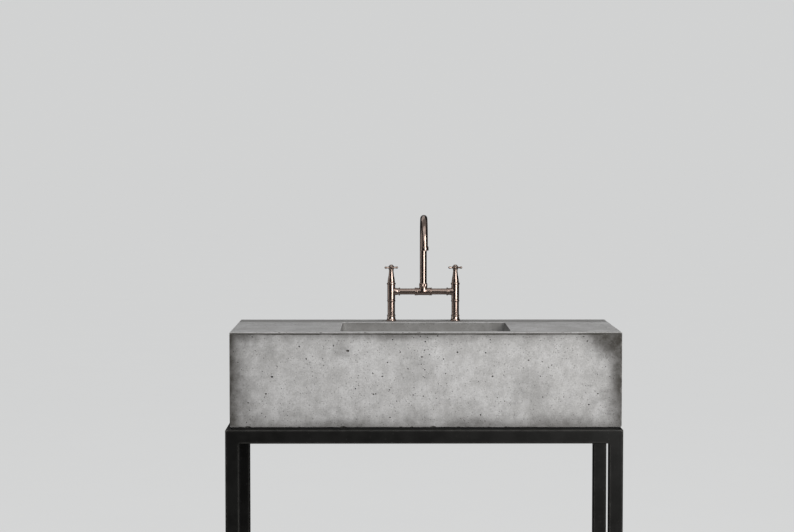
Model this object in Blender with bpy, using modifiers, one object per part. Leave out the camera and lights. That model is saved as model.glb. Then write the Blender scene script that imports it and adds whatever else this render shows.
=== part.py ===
"""Washstand: a cast concrete trough basin on a welded box-section steel stand, with a bridge tap.

Metres, +Z up. The floor is z = 0, the front faces -Y and the back stands against a wall.
The origin is on the floor, under the middle of the stand.
"""

import math

import bmesh
import bpy
from mathutils import Matrix, Vector

# Overall sizes
STAND_WIDTH = 1.136
STAND_DEPTH = 0.480
RIM_HEIGHT = 0.880
BASIN_WIDTH = 1.120
BASIN_DEPTH = 0.470
BASIN_HEIGHT = 0.272
BASIN_SHIFT = 0.0045  # the basin and its tap stand this far right of the stand's middle
GAP = 0.0003  # left between pieces that touch

# Stand
TUBE = 0.040
TUBE_WALL = 0.002
TUBE_CORNER = 0.003
FOOT_HEIGHT = 0.012
SHELF_RAIL_TOP = 0.200
SHELF_THICK = 0.003
SHELF_BEARER_X = 0.180
SHELF_BEARER_WIDTH = 0.030
BEARING_HEIGHT = 0.006  # rubber strips that the basin sits on
BEARING_WIDTH = 0.020

# Basin
WALL = 0.035
DECK = 0.035
ARRIS = 0.0025
BOWL_WIDTH = 0.490
BOWL_LENGTH = 0.320
BOWL_RIM = 0.040  # front rim, from the front face to the bowl
BOWL_DEPTH = 0.140
BOWL_FALL = 0.008  # extra depth at the waste
BOWL_SHELL = 0.028
BOWL_CORNER = 0.014
BOWL_DRAFT = math.radians(2.5)
WASTE_Y = -0.030
WASTE_SEAT_RADIUS = 0.0345
WASTE_SEAT_DEPTH = 0.003
WASTE_HOLE_RADIUS = 0.0225

# Tap: heights here are above the basin's deck
TAP_Y = 0.182
PILLAR_X = 0.0975  # from the spout to each pillar
BRIDGE_HEIGHT = 0.090
BRIDGE_RADIUS = 0.0093
COLLAR_RADIUS = 0.0122
COLLAR_WIDTH = 0.0045
TEE_HALF = 0.0213
STUB_LENGTH = 0.022
PILLAR_TOP = 0.111
BONNET_TOP = 0.155
TAIL_RADIUS = 0.010
TAIL_LENGTH = 0.075
TAP_HOLE_RADIUS = 0.012
HANDLE_HEIGHT = 0.163  # middle of the cross arms
HANDLE_TURN = math.radians(15)  # how far the left cross stands off square
ARM_REACH = 0.0176  # to the middle of an arm's round end
SPOUT_RADIUS = 0.0105
SPOUT_SLIP = 0.0004  # room round the spout in its socket
SPOUT_FOOT = 0.0983
SPOUT_BEND_START = 0.233
SPOUT_REACH = 0.164
NOZZLE_BOTTOM = 0.222
NOZZLE_HEIGHT = 0.012

# Facets
TURN_STEPS = 16
ARM_STEPS = 8
BEND_STEPS = 20
MERGE = 0.00001
OVERSHOOT = 0.020  # how far a cutter runs past the face it cuts

STAND_TOP = RIM_HEIGHT - BASIN_HEIGHT - BEARING_HEIGHT
BASIN_BOTTOM = RIM_HEIGHT - BASIN_HEIGHT
HALF_WIDTH = STAND_WIDTH / 2
HALF_DEPTH = STAND_DEPTH / 2
BASIN_BACK = HALF_DEPTH
BASIN_FRONT = BASIN_BACK - BASIN_DEPTH
BASIN_LEFT = BASIN_SHIFT - BASIN_WIDTH / 2
BASIN_RIGHT = BASIN_SHIFT + BASIN_WIDTH / 2
BOWL_FRONT = BASIN_FRONT + BOWL_RIM
BOWL_BACK = BOWL_FRONT + BOWL_LENGTH
BOWL_FLOOR = RIM_HEIGHT - BOWL_DEPTH
BOWL_UNDERSIDE = BOWL_FLOOR - BOWL_FALL - 0.030
SEAT_HEIGHT = BOWL_FLOOR - BOWL_FALL - WASTE_SEAT_DEPTH


def clear_scene():
    for old in list(bpy.data.objects):
        bpy.data.objects.remove(old, do_unlink=True)


def collection(name):
    made = bpy.data.collections.new(name)
    bpy.context.scene.collection.children.link(made)
    return made


def material(name, colour, roughness, metallic=0.0):
    made = bpy.data.materials.new(name)
    made.use_nodes = True
    shader = made.node_tree.nodes["Principled BSDF"]
    shader.inputs["Base Color"].default_value = (*colour, 1.0)
    shader.inputs["Roughness"].default_value = roughness
    shader.inputs["Metallic"].default_value = metallic
    return made


def place(piece, finish):
    """Puts a finished piece among the parts, with its one material."""
    for home in list(piece.users_collection):
        home.objects.unlink(piece)
    parts.objects.link(piece)
    piece.data.materials.clear()
    piece.data.materials.append(finish)
    return piece


def helper(piece):
    """Makes a piece a cutter, or a shape that a Boolean joins to another."""
    for home in list(piece.users_collection):
        home.objects.unlink(piece)
    cutters.objects.link(piece)
    piece.hide_render = True
    piece.display_type = "WIRE"
    return piece


def object_of(name, bm):
    mesh = bpy.data.meshes.new(name)
    bmesh.ops.recalc_face_normals(bm, faces=bm.faces)
    bm.to_mesh(mesh)
    bm.free()
    piece = bpy.data.objects.new(name, mesh)
    bpy.context.scene.collection.objects.link(piece)
    return piece


def block(name, low, high, arris=0.0, segments=2):
    """A box between two corners, with its edges rounded if an arris is given."""
    low, high = Vector(low), Vector(high)
    size = high - low
    bm = bmesh.new()
    bmesh.ops.create_cube(bm, size=1.0)
    bmesh.ops.scale(bm, vec=size, verts=bm.verts)
    if arris:
        bmesh.ops.bevel(
            bm, geom=bm.edges, offset=arris, segments=segments, profile=0.5, affect="EDGES"
        )
    piece = object_of(name, bm)
    piece.location = (low + high) / 2
    return piece


def turned(name, profile, steps=TURN_STEPS):
    """A solid of revolution about Z. The profile runs down its outer side as (radius, height) pairs.

    It starts and ends on the axis, or closes on itself to make a ring.
    """
    mesh = bpy.data.meshes.new(name)
    corners = [(radius, 0.0, height) for radius, height in profile]
    lines = [(i, i + 1) for i in range(len(corners) - 1)]
    if profile[0][0] > 0:
        lines.append((len(corners) - 1, 0))
    mesh.from_pydata(corners, lines, [])
    piece = bpy.data.objects.new(name, mesh)
    bpy.context.scene.collection.objects.link(piece)
    screw = piece.modifiers.new("turn", "SCREW")
    screw.steps = steps
    screw.render_steps = steps
    screw.use_merge_vertices = True
    screw.merge_threshold = MERGE
    return baked(piece)


def arc(centre, radius, start, end, steps):
    """Points on an arc in a profile, from one angle to another in degrees."""
    angles = [math.radians(start + (end - start) * i / steps) for i in range(steps + 1)]
    return [
        (centre[0] + radius * math.cos(angle), centre[1] + radius * math.sin(angle))
        for angle in angles
    ]


def boolean(piece, operation, others):
    for other in others:
        modifier = piece.modifiers.new(operation.lower(), "BOOLEAN")
        modifier.operation = operation
        modifier.solver = "EXACT"
        modifier.object = helper(other)
    return piece


def baked(piece):
    """The piece as plain mesh, with its modifiers applied."""
    bpy.context.view_layer.update()
    graph = bpy.context.evaluated_depsgraph_get()
    mesh = bpy.data.meshes.new_from_object(piece.evaluated_get(graph))
    bm = bmesh.new()
    bm.from_mesh(mesh)
    bmesh.ops.remove_doubles(bm, verts=bm.verts, dist=MERGE)
    bm.to_mesh(mesh)
    bm.free()
    mesh.shade_smooth()
    mesh.set_sharp_from_angle(angle=math.radians(35))
    solid = bpy.data.objects.new(piece.name, mesh)
    solid.matrix_world = piece.matrix_world
    name = piece.name
    bpy.data.objects.remove(piece)
    solid.name = name
    bpy.context.scene.collection.objects.link(solid)
    return solid


def square_tube(name, start, end, side=TUBE, wall=TUBE_WALL, mitre=0):
    """A hollow box section between two points along X, Y or Z.

    A mitre of 1 or -1 cuts both ends at 45 degrees, with the short side towards + or - of the
    section's first cross axis.
    """
    start, end = Vector(start), Vector(end)
    length = (end - start).length
    skins = []
    for radius, reach, corner in ((side / 2, 0.0, TUBE_CORNER), (side / 2 - wall, OVERSHOOT, 0)):
        bm = bmesh.new()
        bmesh.ops.create_cube(bm, size=1.0)
        for vert in bm.verts:
            across = vert.co.x * 2 * radius
            ahead = math.copysign(length / 2 + reach, vert.co.z)
            if mitre:
                ahead -= math.copysign(side / 2 + mitre * across, vert.co.z)
            vert.co = (across, vert.co.y * 2 * radius, ahead)
        if corner:
            long_edges = [
                edge for edge in bm.edges
                if edge.verts[0].co.z * edge.verts[1].co.z < 0
            ]
            bmesh.ops.bevel(
                bm, geom=long_edges, offset=corner, segments=3, profile=0.5, affect="EDGES"
            )
        skins.append(object_of(name if corner else name + "_inside", bm))
    outer, inner = skins
    along = (end - start).normalized()
    upright = Vector((0, 0, 1)) if abs(along.z) < 0.5 else Vector((0, 1, 0))
    first = upright.cross(along)
    turn = Matrix((first, along.cross(first), along)).transposed().to_4x4()
    for skin in skins:
        skin.matrix_world = Matrix.Translation((start + end) / 2) @ turn
    boolean(outer, "DIFFERENCE", [inner])
    return baked(outer)


# Stand


def make_top_ring():
    """Four mitred rails that make a level ring under the basin."""
    x = HALF_WIDTH
    y = HALF_DEPTH
    z = STAND_TOP - TUBE / 2
    middle_x = x - TUBE / 2
    middle_y = y - TUBE / 2
    runs = {
        "front": ((x - GAP, -middle_y, z), (-x + GAP, -middle_y, z)),
        "back": ((-x + GAP, middle_y, z), (x - GAP, middle_y, z)),
        "left": ((-middle_x, -y + GAP, z), (-middle_x, y - GAP, z)),
        "right": ((middle_x, y - GAP, z), (middle_x, -y + GAP, z)),
    }
    for side, (start, end) in runs.items():
        place(square_tube(f"top_rail_{side}", start, end, mitre=-1), black_steel)


def make_legs():
    x = HALF_WIDTH - TUBE / 2
    y = HALF_DEPTH - TUBE / 2
    top = STAND_TOP - TUBE - GAP
    for side, sx in (("left", -1), ("right", 1)):
        for end, sy in (("front", -1), ("back", 1)):
            name = f"{end}_{side}"
            leg = square_tube("leg_" + name, (sx * x, sy * y, FOOT_HEIGHT + GAP), (sx * x, sy * y, top))
            place(leg, black_steel)
            place(make_foot("foot_" + name, sx * x, sy * y), black_plastic)


def make_foot(name, x, y):
    """A plug in the tube's end with a flange, a neck and a round glide under it."""
    plug_half = TUBE / 2 - TUBE_WALL - 0.0004
    flange_half = TUBE / 2
    glide = [
        (0, FOOT_HEIGHT), (0.008, FOOT_HEIGHT), (0.008, 0.0075), (0.013, 0.006),
        (0.0155, 0.0035), (0.0160, 0.0010), (0.0150, 0), (0, 0),
    ]
    foot = block(
        name, (-flange_half, -flange_half, 0.0095), (flange_half, flange_half, FOOT_HEIGHT), 0.0008, 1
    )
    plug = block("plug", (-plug_half, -plug_half, 0.0105), (plug_half, plug_half, 0.032))
    boolean(foot, "UNION", [plug, turned("glide", glide)])
    foot = baked(foot)
    foot.data.transform(foot.matrix_world)
    foot.matrix_world = Matrix.Translation((x, y, 0))
    return foot


def make_shelf():
    """Lower rails butted between the legs, two bearers, and a flat sheet that lies on them."""
    x = HALF_WIDTH - TUBE - GAP
    y = HALF_DEPTH - TUBE - GAP
    z = SHELF_RAIL_TOP - TUBE / 2
    middle_x = HALF_WIDTH - TUBE / 2
    middle_y = HALF_DEPTH - TUBE / 2
    for side, sign in (("front", -1), ("back", 1)):
        rail = square_tube(f"shelf_rail_{side}", (-x, sign * middle_y, z), (x, sign * middle_y, z))
        place(rail, black_steel)
    for side, sign in (("left", -1), ("right", 1)):
        rail = square_tube(f"shelf_rail_{side}", (sign * middle_x, -y, z), (sign * middle_x, y, z))
        place(rail, black_steel)
        bearer = square_tube(
            f"shelf_bearer_{side}",
            (sign * SHELF_BEARER_X, -y, SHELF_RAIL_TOP - SHELF_BEARER_WIDTH / 2),
            (sign * SHELF_BEARER_X, y, SHELF_RAIL_TOP - SHELF_BEARER_WIDTH / 2),
            side=SHELF_BEARER_WIDTH,
        )
        place(bearer, black_steel)
    sheet_x = HALF_WIDTH - TUBE - 0.0005
    sheet_y = HALF_DEPTH - 0.001
    bottom = SHELF_RAIL_TOP + GAP
    sheet = block("shelf", (-sheet_x, -sheet_y, bottom), (sheet_x, sheet_y, bottom + SHELF_THICK), 0.0006, 1)
    place(sheet, black_steel)


def make_bearing_strips():
    bottom = STAND_TOP + GAP
    top = BASIN_BOTTOM - GAP
    half = BEARING_WIDTH / 2
    left = BASIN_LEFT + WALL / 2
    right = BASIN_RIGHT - WALL / 2
    front = BASIN_FRONT + WALL / 2
    back = BASIN_BACK - WALL / 2
    spans = {
        "front": ((left + half + GAP, front - half), (right - half - GAP, front + half)),
        "back": ((left + half + GAP, back - half), (right - half - GAP, back + half)),
        "left": ((left - half, front - half), (left + half, back + half)),
        "right": ((right - half, front - half), (right + half, back + half)),
    }
    for side, (low, high) in spans.items():
        place(block("bearing_strip_" + side, (*low, bottom), (*high, top)), rubber)


# Basin


def bowl_cutter():
    """The bowl's inside: drafted walls, rounded corners, and a floor that falls to the waste."""
    rise = 0.030
    depth = BOWL_DEPTH
    slope = math.tan(BOWL_DRAFT)
    middle_y = (BOWL_FRONT + BOWL_BACK) / 2
    bm = bmesh.new()
    bmesh.ops.create_cube(bm, size=1.0)
    for vert in bm.verts:
        above = rise if vert.co.z > 0 else -depth
        spread = slope * above
        vert.co = (
            BASIN_SHIFT + math.copysign(BOWL_WIDTH / 2 + spread, vert.co.x),
            middle_y + math.copysign(BOWL_LENGTH / 2 + spread, vert.co.y),
            RIM_HEIGHT + above,
        )
    edges = [e for e in bm.edges if min(v.co.z for v in e.verts) < RIM_HEIGHT]
    bmesh.ops.bevel(bm, geom=edges, offset=BOWL_CORNER, segments=4, profile=0.5, affect="EDGES")
    floor = min(bm.faces, key=lambda face: face.calc_center_median().z)
    poked = bmesh.ops.poke(bm, faces=[floor])
    poked["verts"][0].co = (BASIN_SHIFT, WASTE_Y, BOWL_FLOOR - BOWL_FALL)
    return object_of("bowl_inside", bm)


def make_basin():
    """A hollow casting: an apron on four sides, a deck, and the bowl hung from the deck."""
    basin = block(
        "basin",
        (BASIN_LEFT, BASIN_FRONT, BASIN_BOTTOM),
        (BASIN_RIGHT, BASIN_BACK, RIM_HEIGHT),
        ARRIS,
    )
    hollow = block(
        "hollow",
        (BASIN_LEFT + WALL, BASIN_FRONT + WALL, BASIN_BOTTOM - OVERSHOOT),
        (BASIN_RIGHT - WALL, BASIN_BACK - WALL, RIM_HEIGHT - DECK),
    )
    bowl_half = BOWL_WIDTH / 2 + BOWL_SHELL
    bowl_block = block(
        "bowl_block",
        (BASIN_SHIFT - bowl_half, BASIN_FRONT, BOWL_UNDERSIDE),
        (BASIN_SHIFT + bowl_half, BOWL_BACK + BOWL_SHELL, RIM_HEIGHT),
    )
    boolean(hollow, "DIFFERENCE", [bowl_block])
    cutting = [hollow, bowl_cutter()]
    above = BOWL_FLOOR + OVERSHOOT
    below = BOWL_UNDERSIDE - OVERSHOOT
    waste_hole = turned("waste_hole", [
        (0, above), (WASTE_SEAT_RADIUS, above), (WASTE_SEAT_RADIUS, SEAT_HEIGHT),
        (WASTE_HOLE_RADIUS, SEAT_HEIGHT), (WASTE_HOLE_RADIUS, below), (0, below),
    ])
    waste_hole.location = (BASIN_SHIFT, WASTE_Y, 0)
    cutting.append(waste_hole)
    tap_hole = [
        (0, RIM_HEIGHT + OVERSHOOT), (TAP_HOLE_RADIUS, RIM_HEIGHT + OVERSHOOT),
        (TAP_HOLE_RADIUS, RIM_HEIGHT - DECK - OVERSHOOT), (0, RIM_HEIGHT - DECK - OVERSHOOT),
    ]
    for sign in (-1, 1):
        cutter = turned("tap_hole", tap_hole)
        cutter.location = (BASIN_SHIFT + sign * PILLAR_X, TAP_Y, 0)
        cutting.append(cutter)
    boolean(basin, "DIFFERENCE", cutting)
    place(baked(basin), concrete)


def make_waste():
    """A flanged tube with a rebated grid in its mouth, and a hexagonal nut under the bowl."""
    top = SEAT_HEIGHT + GAP + WASTE_SEAT_DEPTH
    bottom = BOWL_UNDERSIDE - 0.045
    flange_radius = WASTE_SEAT_RADIUS - 0.0012
    tube_radius = WASTE_HOLE_RADIUS - 0.0015
    bore = tube_radius - 0.0030
    rebate = 0.0020
    grid_radius = 0.0262
    body = [
        (grid_radius + GAP, top), (flange_radius - 0.002, top), (flange_radius - 0.0006, top - 0.0006),
        (flange_radius, top - 0.0018), (flange_radius, SEAT_HEIGHT + GAP),
        (tube_radius, SEAT_HEIGHT + GAP), (tube_radius, bottom), (bore, bottom),
        (bore, top - rebate), (grid_radius + GAP, top - rebate),
    ]
    waste = place(turned("waste_body", body), aged_copper)
    waste.location = (BASIN_SHIFT, WASTE_Y, 0)

    low = top - rebate + GAP
    plate = [
        (0, low + 0.0022), (0.006, low + 0.0022), (grid_radius - 0.002, low + 0.0017),
        (grid_radius, low + 0.0012), (grid_radius, low), (0, low),
    ]
    grid = turned("waste_grid", plate)
    slots = []
    for step in range(8):
        slot = block("slot", (0.0075, -0.0022, low - 0.005), (0.0165, 0.0022, low + 0.008))
        slot.matrix_world = Matrix.Rotation(step * math.tau / 8, 4, "Z") @ Matrix.Translation(slot.location)
        slots.append(slot)
    boolean(grid, "DIFFERENCE", slots)
    grid = place(baked(grid), aged_copper)
    grid.location = (BASIN_SHIFT, WASTE_Y, 0)

    nut_top = BOWL_UNDERSIDE - GAP
    nut = place(hex_nut("waste_nut", 0.029, tube_radius + 0.0004, nut_top, 0.010), aged_copper)
    nut.location = (BASIN_SHIFT, WASTE_Y, 0)


def hex_nut(name, half_flats, bore, top, height):
    """A six-sided nut with a round bore, about Z."""
    radius = half_flats / math.cos(math.pi / 6)
    nut = turned(name, [(0, top), (radius, top), (radius, top - height), (0, top - height)], 6)
    through = [
        (0, top + OVERSHOOT), (bore, top + OVERSHOOT),
        (bore, top - height - OVERSHOOT), (0, top - height - OVERSHOOT),
    ]
    boolean(nut, "DIFFERENCE", [turned("nut_bore", through)])
    return baked(nut)


# Tap


def pillar_mesh():
    """A deck pillar with its threaded tail, and a stub at bridge height that points to +X."""
    profile = [
        (0, PILLAR_TOP), (0.0119, PILLAR_TOP), (0.0119, 0.064), (0.0124, 0.0632), (0.0126, 0.0617),
        (0.0124, 0.0602), (0.0113, 0.0592), (0.0113, GAP), (TAIL_RADIUS, GAP),
        (TAIL_RADIUS, -TAIL_LENGTH + 0.001), (TAIL_RADIUS - 0.001, -TAIL_LENGTH), (0, -TAIL_LENGTH),
    ]
    stub_profile = [
        (0, STUB_LENGTH), (0.0100, STUB_LENGTH), (0.0104, STUB_LENGTH - 0.0006),
        (0.0106, 0.0170), (0.0111, 0.0125), (0.0113, 0), (0, 0),
    ]
    pillar = turned("pillar", profile)
    stub = turned("stub", stub_profile)
    stub.matrix_world = Matrix.Translation((0, 0, BRIDGE_HEIGHT)) @ Matrix.Rotation(math.pi / 2, 4, "Y")
    boolean(pillar, "UNION", [stub])
    return baked(pillar)


def make_pillars():
    pattern = pillar_mesh()
    flange = [
        (0.0122, 0.0190), (0.0130, 0.0184), (0.0132, 0.0174), (0.0130, 0.0164), (0.0122, 0.0156),
        (0.0124, 0.0100), (0.0132, 0.0058), (0.0146, 0.0036), (0.0150, 0.0022), (0.0150, GAP),
        (0.0117, GAP), (0.0117, 0.0190),
    ]
    bonnet = [
        (0, 0.1630), (0.0030, 0.1630), (0.0034, 0.1624), (0.0034, BONNET_TOP), (0.0062, BONNET_TOP),
        (0.0070, 0.1540), (0.0072, 0.1480), (0.0084, 0.1380), (0.0102, 0.1290), (0.0112, 0.1200),
        (0.0112, 0.1162), (0.0130, 0.1162), (0.0134, 0.1152), (0.0134, 0.1124), (0.0130, PILLAR_TOP + GAP),
        (0, PILLAR_TOP + GAP),
    ]
    backnut = hex_nut("backnut", 0.0165, TAIL_RADIUS + 0.0004, -DECK - GAP, 0.008)
    for side, sign in (("left", -1), ("right", 1)):
        at = Vector((BASIN_SHIFT + sign * PILLAR_X, TAP_Y, RIM_HEIGHT))
        pillar = bpy.data.objects.new("tap_pillar_" + side, pattern.data)
        pillar.rotation_euler = (0, 0, 0 if sign < 0 else math.pi)
        nut = bpy.data.objects.new("tap_backnut_" + side, backnut.data)
        turned_pieces = [
            pillar,
            nut,
            turned("tap_flange_" + side, flange),
            turned("tap_bonnet_" + side, bonnet),
        ]
        for piece in turned_pieces:
            piece.location = at
            place(piece, aged_copper)
    for used in (pattern, backnut):
        bpy.data.objects.remove(used)


def make_bridge():
    """The centre tee with its bored socket, two tubes, and a collar at each end of each tube."""
    along_x = Matrix.Rotation(math.pi / 2, 4, "Y")
    at = Vector((BASIN_SHIFT, TAP_Y, RIM_HEIGHT + BRIDGE_HEIGHT))
    body = [
        (0, TEE_HALF), (0.0115, TEE_HALF), (0.0119, TEE_HALF - 0.0006), (0.0119, TEE_HALF - 0.0026),
        (0.0112, TEE_HALF - 0.0038), (0.0112, -TEE_HALF + 0.0038), (0.0119, -TEE_HALF + 0.0026),
        (0.0119, -TEE_HALF + 0.0006), (0.0115, -TEE_HALF), (0, -TEE_HALF),
    ]
    socket_top = 0.0140
    socket = [(0, socket_top), (0.0121, socket_top), (0.0121, 0), (0, 0)]
    bore_radius = SPOUT_RADIUS + SPOUT_SLIP
    bore_foot = SPOUT_FOOT - GAP - BRIDGE_HEIGHT
    bore_top = socket_top + OVERSHOOT
    bore = [(0, bore_top), (bore_radius, bore_top), (bore_radius, bore_foot), (0, bore_foot)]
    tee = turned("tap_tee", body)
    tee.matrix_world = along_x
    boolean(tee, "UNION", [turned("tee_socket", socket)])
    boolean(tee, "DIFFERENCE", [turned("tee_bore", bore)])
    tee = baked(tee)
    tee.data.transform(tee.matrix_world)
    tee.matrix_world = Matrix.Translation(at)
    place(tee, aged_copper)

    gland_low = BRIDGE_HEIGHT + socket_top + GAP
    gland = [
        (bore_radius, 0.1150), (0.0118, 0.1150), (0.0124, 0.1143), (0.0126, 0.1130), (0.0126, 0.1060),
        (0.0123, gland_low), (bore_radius, gland_low),
    ]
    nut = place(turned("tap_gland", gland), aged_copper)
    nut.location = (BASIN_SHIFT, TAP_Y, RIM_HEIGHT)

    outer_face = PILLAR_X - STUB_LENGTH - GAP
    inner_face = TEE_HALF + GAP
    half = COLLAR_WIDTH / 2
    chamfer = 0.0008
    collar = [
        (BRIDGE_RADIUS + GAP, half), (COLLAR_RADIUS - chamfer, half), (COLLAR_RADIUS, half - chamfer),
        (COLLAR_RADIUS, -half + chamfer), (COLLAR_RADIUS - chamfer, -half),
        (BRIDGE_RADIUS + GAP, -half),
    ]
    tube_half = (outer_face - inner_face) / 2
    tube = [(0, tube_half), (BRIDGE_RADIUS, tube_half), (BRIDGE_RADIUS, -tube_half), (0, -tube_half)]
    for side, sign in (("left", -1), ("right", 1)):
        rod = turned("tap_bridge_" + side, tube)
        places = [(rod, (outer_face + inner_face) / 2)]
        for end, x in (("inner", inner_face + half), ("outer", outer_face - half)):
            places.append((turned(f"tap_collar_{end}_{side}", collar), x))
        for piece, x in places:
            piece.matrix_world = Matrix.Translation(at + Vector((sign * x, 0, 0))) @ along_x
            place(piece, aged_copper)


def make_spout():
    """A swan neck: a riser, a half circle towards the front, and a short fall into the nozzle."""
    bend = SPOUT_REACH / 2
    path = [(0, SPOUT_FOOT), (0, 0.150), (0, 0.200)]
    for step in range(BEND_STEPS + 1):
        angle = math.pi * step / BEND_STEPS
        path.append((-bend + bend * math.cos(angle), SPOUT_BEND_START + bend * math.sin(angle)))
    path.append((-SPOUT_REACH, NOZZLE_BOTTOM + 0.003))
    curve = bpy.data.curves.new("spout", "CURVE")
    curve.dimensions = "3D"
    curve.bevel_depth = SPOUT_RADIUS
    curve.bevel_resolution = 6
    curve.use_fill_caps = True
    spline = curve.splines.new("POLY")
    spline.points.add(len(path) - 1)
    for point, (y, z) in zip(spline.points, path):
        point.co = (0, y, z, 1)
    bent = bpy.data.objects.new("spout", curve)
    bpy.context.scene.collection.objects.link(bent)
    spout = place(baked(bent), aged_copper)
    spout.location = (BASIN_SHIFT, TAP_Y, RIM_HEIGHT)

    top = NOZZLE_BOTTOM + NOZZLE_HEIGHT
    bore = SPOUT_RADIUS + GAP
    sleeve = [
        (bore, top), (0.0119, top), (0.0127, top - 0.0010), (0.0127, NOZZLE_BOTTOM + 0.0008),
        (0.0121, NOZZLE_BOTTOM), (bore, NOZZLE_BOTTOM),
    ]
    nozzle = place(turned("spout_nozzle", sleeve), aged_copper)
    nozzle.parent = spout
    nozzle.location = (0, -SPOUT_REACH, 0)


def handle_mesh():
    """A hub over the spindle with four arms that swell to round ends. Its origin is at the deck."""
    hub = [
        (0, 0.1690), (0.0062, 0.1690), (0.0076, 0.1680), (0.0090, 0.1655), (0.0095, 0.1630),
        (0.0090, 0.1605), (0.0076, 0.1582), (0.0070, 0.1572), (0.0076, 0.1562), (0.0076, BONNET_TOP + GAP),
        (0.0038, BONNET_TOP + GAP), (0.0038, 0.1634), (0, 0.1634),
    ]
    end = 0.0036
    arm = [(0, ARM_REACH + end)]
    arm += arc((0, ARM_REACH), end, 67.5, -10, 5)
    arm += [(0.0030, ARM_REACH - 0.0046), (0.0024, 0.0098), (0.0024, 0.0085), (0.0031, 0.0060), (0, 0.0060)]
    body = turned("handle", hub)
    arms = []
    for step in range(4):
        piece = turned("arm", arm, ARM_STEPS)
        piece.matrix_world = (
            Matrix.Rotation(step * math.pi / 2, 4, "Z")
            @ Matrix.Translation((0, 0, HANDLE_HEIGHT))
            @ Matrix.Rotation(math.pi / 2, 4, "Y")
        )
        arms.append(piece)
    boolean(body, "UNION", arms)
    return baked(body)


def make_handles():
    pattern = handle_mesh()
    cap = [
        (0, 0.1722), (0.0026, 0.1720), (0.0046, 0.1712), (0.0058, 0.1700), (0.0060, 0.1690 + GAP),
        (0, 0.1690 + GAP),
    ]
    for side, sign, turn in (("left", -1, HANDLE_TURN), ("right", 1, 0.0)):
        spindle = bpy.data.objects.new("spindle_axis_" + side, None)
        spindle.location = (BASIN_SHIFT + sign * PILLAR_X, TAP_Y, RIM_HEIGHT)
        spindle.rotation_euler = (0, 0, turn)
        parts.objects.link(spindle)
        handle = bpy.data.objects.new("handle_" + side, pattern.data)
        for piece in (handle, turned("handle_cap_" + side, cap)):
            place(piece, aged_copper)
            piece.parent = spindle
    bpy.data.objects.remove(pattern)


clear_scene()
parts = collection("washstand")
cutters = collection("cutters")
concrete = material("concrete", (0.42, 0.42, 0.42), 0.80)
black_steel = material("black_steel", (0.012, 0.012, 0.011), 0.45, 0.3)
black_plastic = material("black_plastic", (0.015, 0.015, 0.015), 0.50)
rubber = material("rubber", (0.010, 0.010, 0.010), 0.90)
aged_copper = material("aged_copper", (0.52, 0.33, 0.25), 0.22, 1.0)

make_top_ring()
make_legs()
make_shelf()
make_bearing_strips()
make_basin()
make_waste()
make_pillars()
make_bridge()
make_spout()
make_handles()
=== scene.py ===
# %% [markdown]
# # A concrete trough washstand, piece by piece
#
# This lesson dresses a washstand: a cast-concrete trough, an aged-copper bridge tap and a black steel
# stand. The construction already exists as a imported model, the frame. It says where every part is and
# which parts turn. So the first step loads that frame, and every later piece takes its place from it.
# We could type the sizes in again, but then a change to the construction would pull the two apart.

# %% Load the frame
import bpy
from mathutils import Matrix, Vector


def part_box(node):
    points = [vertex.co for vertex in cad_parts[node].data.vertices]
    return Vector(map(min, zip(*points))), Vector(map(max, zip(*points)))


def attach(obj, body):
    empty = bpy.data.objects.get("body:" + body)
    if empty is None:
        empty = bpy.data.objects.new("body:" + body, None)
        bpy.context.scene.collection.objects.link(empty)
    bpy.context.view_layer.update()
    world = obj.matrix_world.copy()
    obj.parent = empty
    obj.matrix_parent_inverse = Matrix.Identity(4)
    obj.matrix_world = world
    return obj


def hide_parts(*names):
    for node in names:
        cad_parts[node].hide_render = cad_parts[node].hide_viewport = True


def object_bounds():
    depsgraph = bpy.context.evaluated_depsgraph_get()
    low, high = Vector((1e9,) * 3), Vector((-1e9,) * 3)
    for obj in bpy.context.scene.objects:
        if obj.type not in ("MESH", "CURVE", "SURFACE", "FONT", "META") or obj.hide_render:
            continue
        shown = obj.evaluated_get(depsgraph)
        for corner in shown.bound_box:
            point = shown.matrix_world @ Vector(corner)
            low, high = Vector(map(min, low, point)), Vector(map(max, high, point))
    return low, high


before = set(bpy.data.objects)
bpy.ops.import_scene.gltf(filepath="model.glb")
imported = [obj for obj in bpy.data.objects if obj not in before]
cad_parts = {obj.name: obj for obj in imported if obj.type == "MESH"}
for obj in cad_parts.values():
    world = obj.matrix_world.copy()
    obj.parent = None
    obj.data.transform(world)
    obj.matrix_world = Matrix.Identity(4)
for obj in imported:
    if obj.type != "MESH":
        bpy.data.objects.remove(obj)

cad_low, cad_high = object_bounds()
print("whole object, metres:", [round(side, 4) for side in cad_high - cad_low])

# %% Tools for this lesson
import itertools
import math
import random

import bmesh
import bpy
from mathutils import Matrix, Vector, noise


def middle_of(node):
    """The middle of the box round one part of the construction."""
    low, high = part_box(node)
    return (low + high) / 2


print("tool ready: middle_of")

# %% [markdown]
# ## Camera
#
# A product picture with straight uprights needs a long lens and a camera that is almost level. This
# one stands six metres away, a little above the tap, and looks down by three degrees. A wide lens
# close by would also fill the picture, but it would make the near edge of the trough look too big.

# %% Camera
camera = bpy.data.objects.new("camera", bpy.data.cameras.new("camera"))
camera.data.lens = 92.44
camera.data.sensor_width = 36.0
camera.location = (-0.109, -6.019, 1.371)
camera.rotation_euler = (math.radians(90 - 2.984), 0, math.radians(-0.309))
bpy.context.scene.collection.objects.link(camera)
bpy.context.scene.camera = camera
print("camera", [round(place, 3) for place in camera.location], "lens", camera.data.lens)

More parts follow.
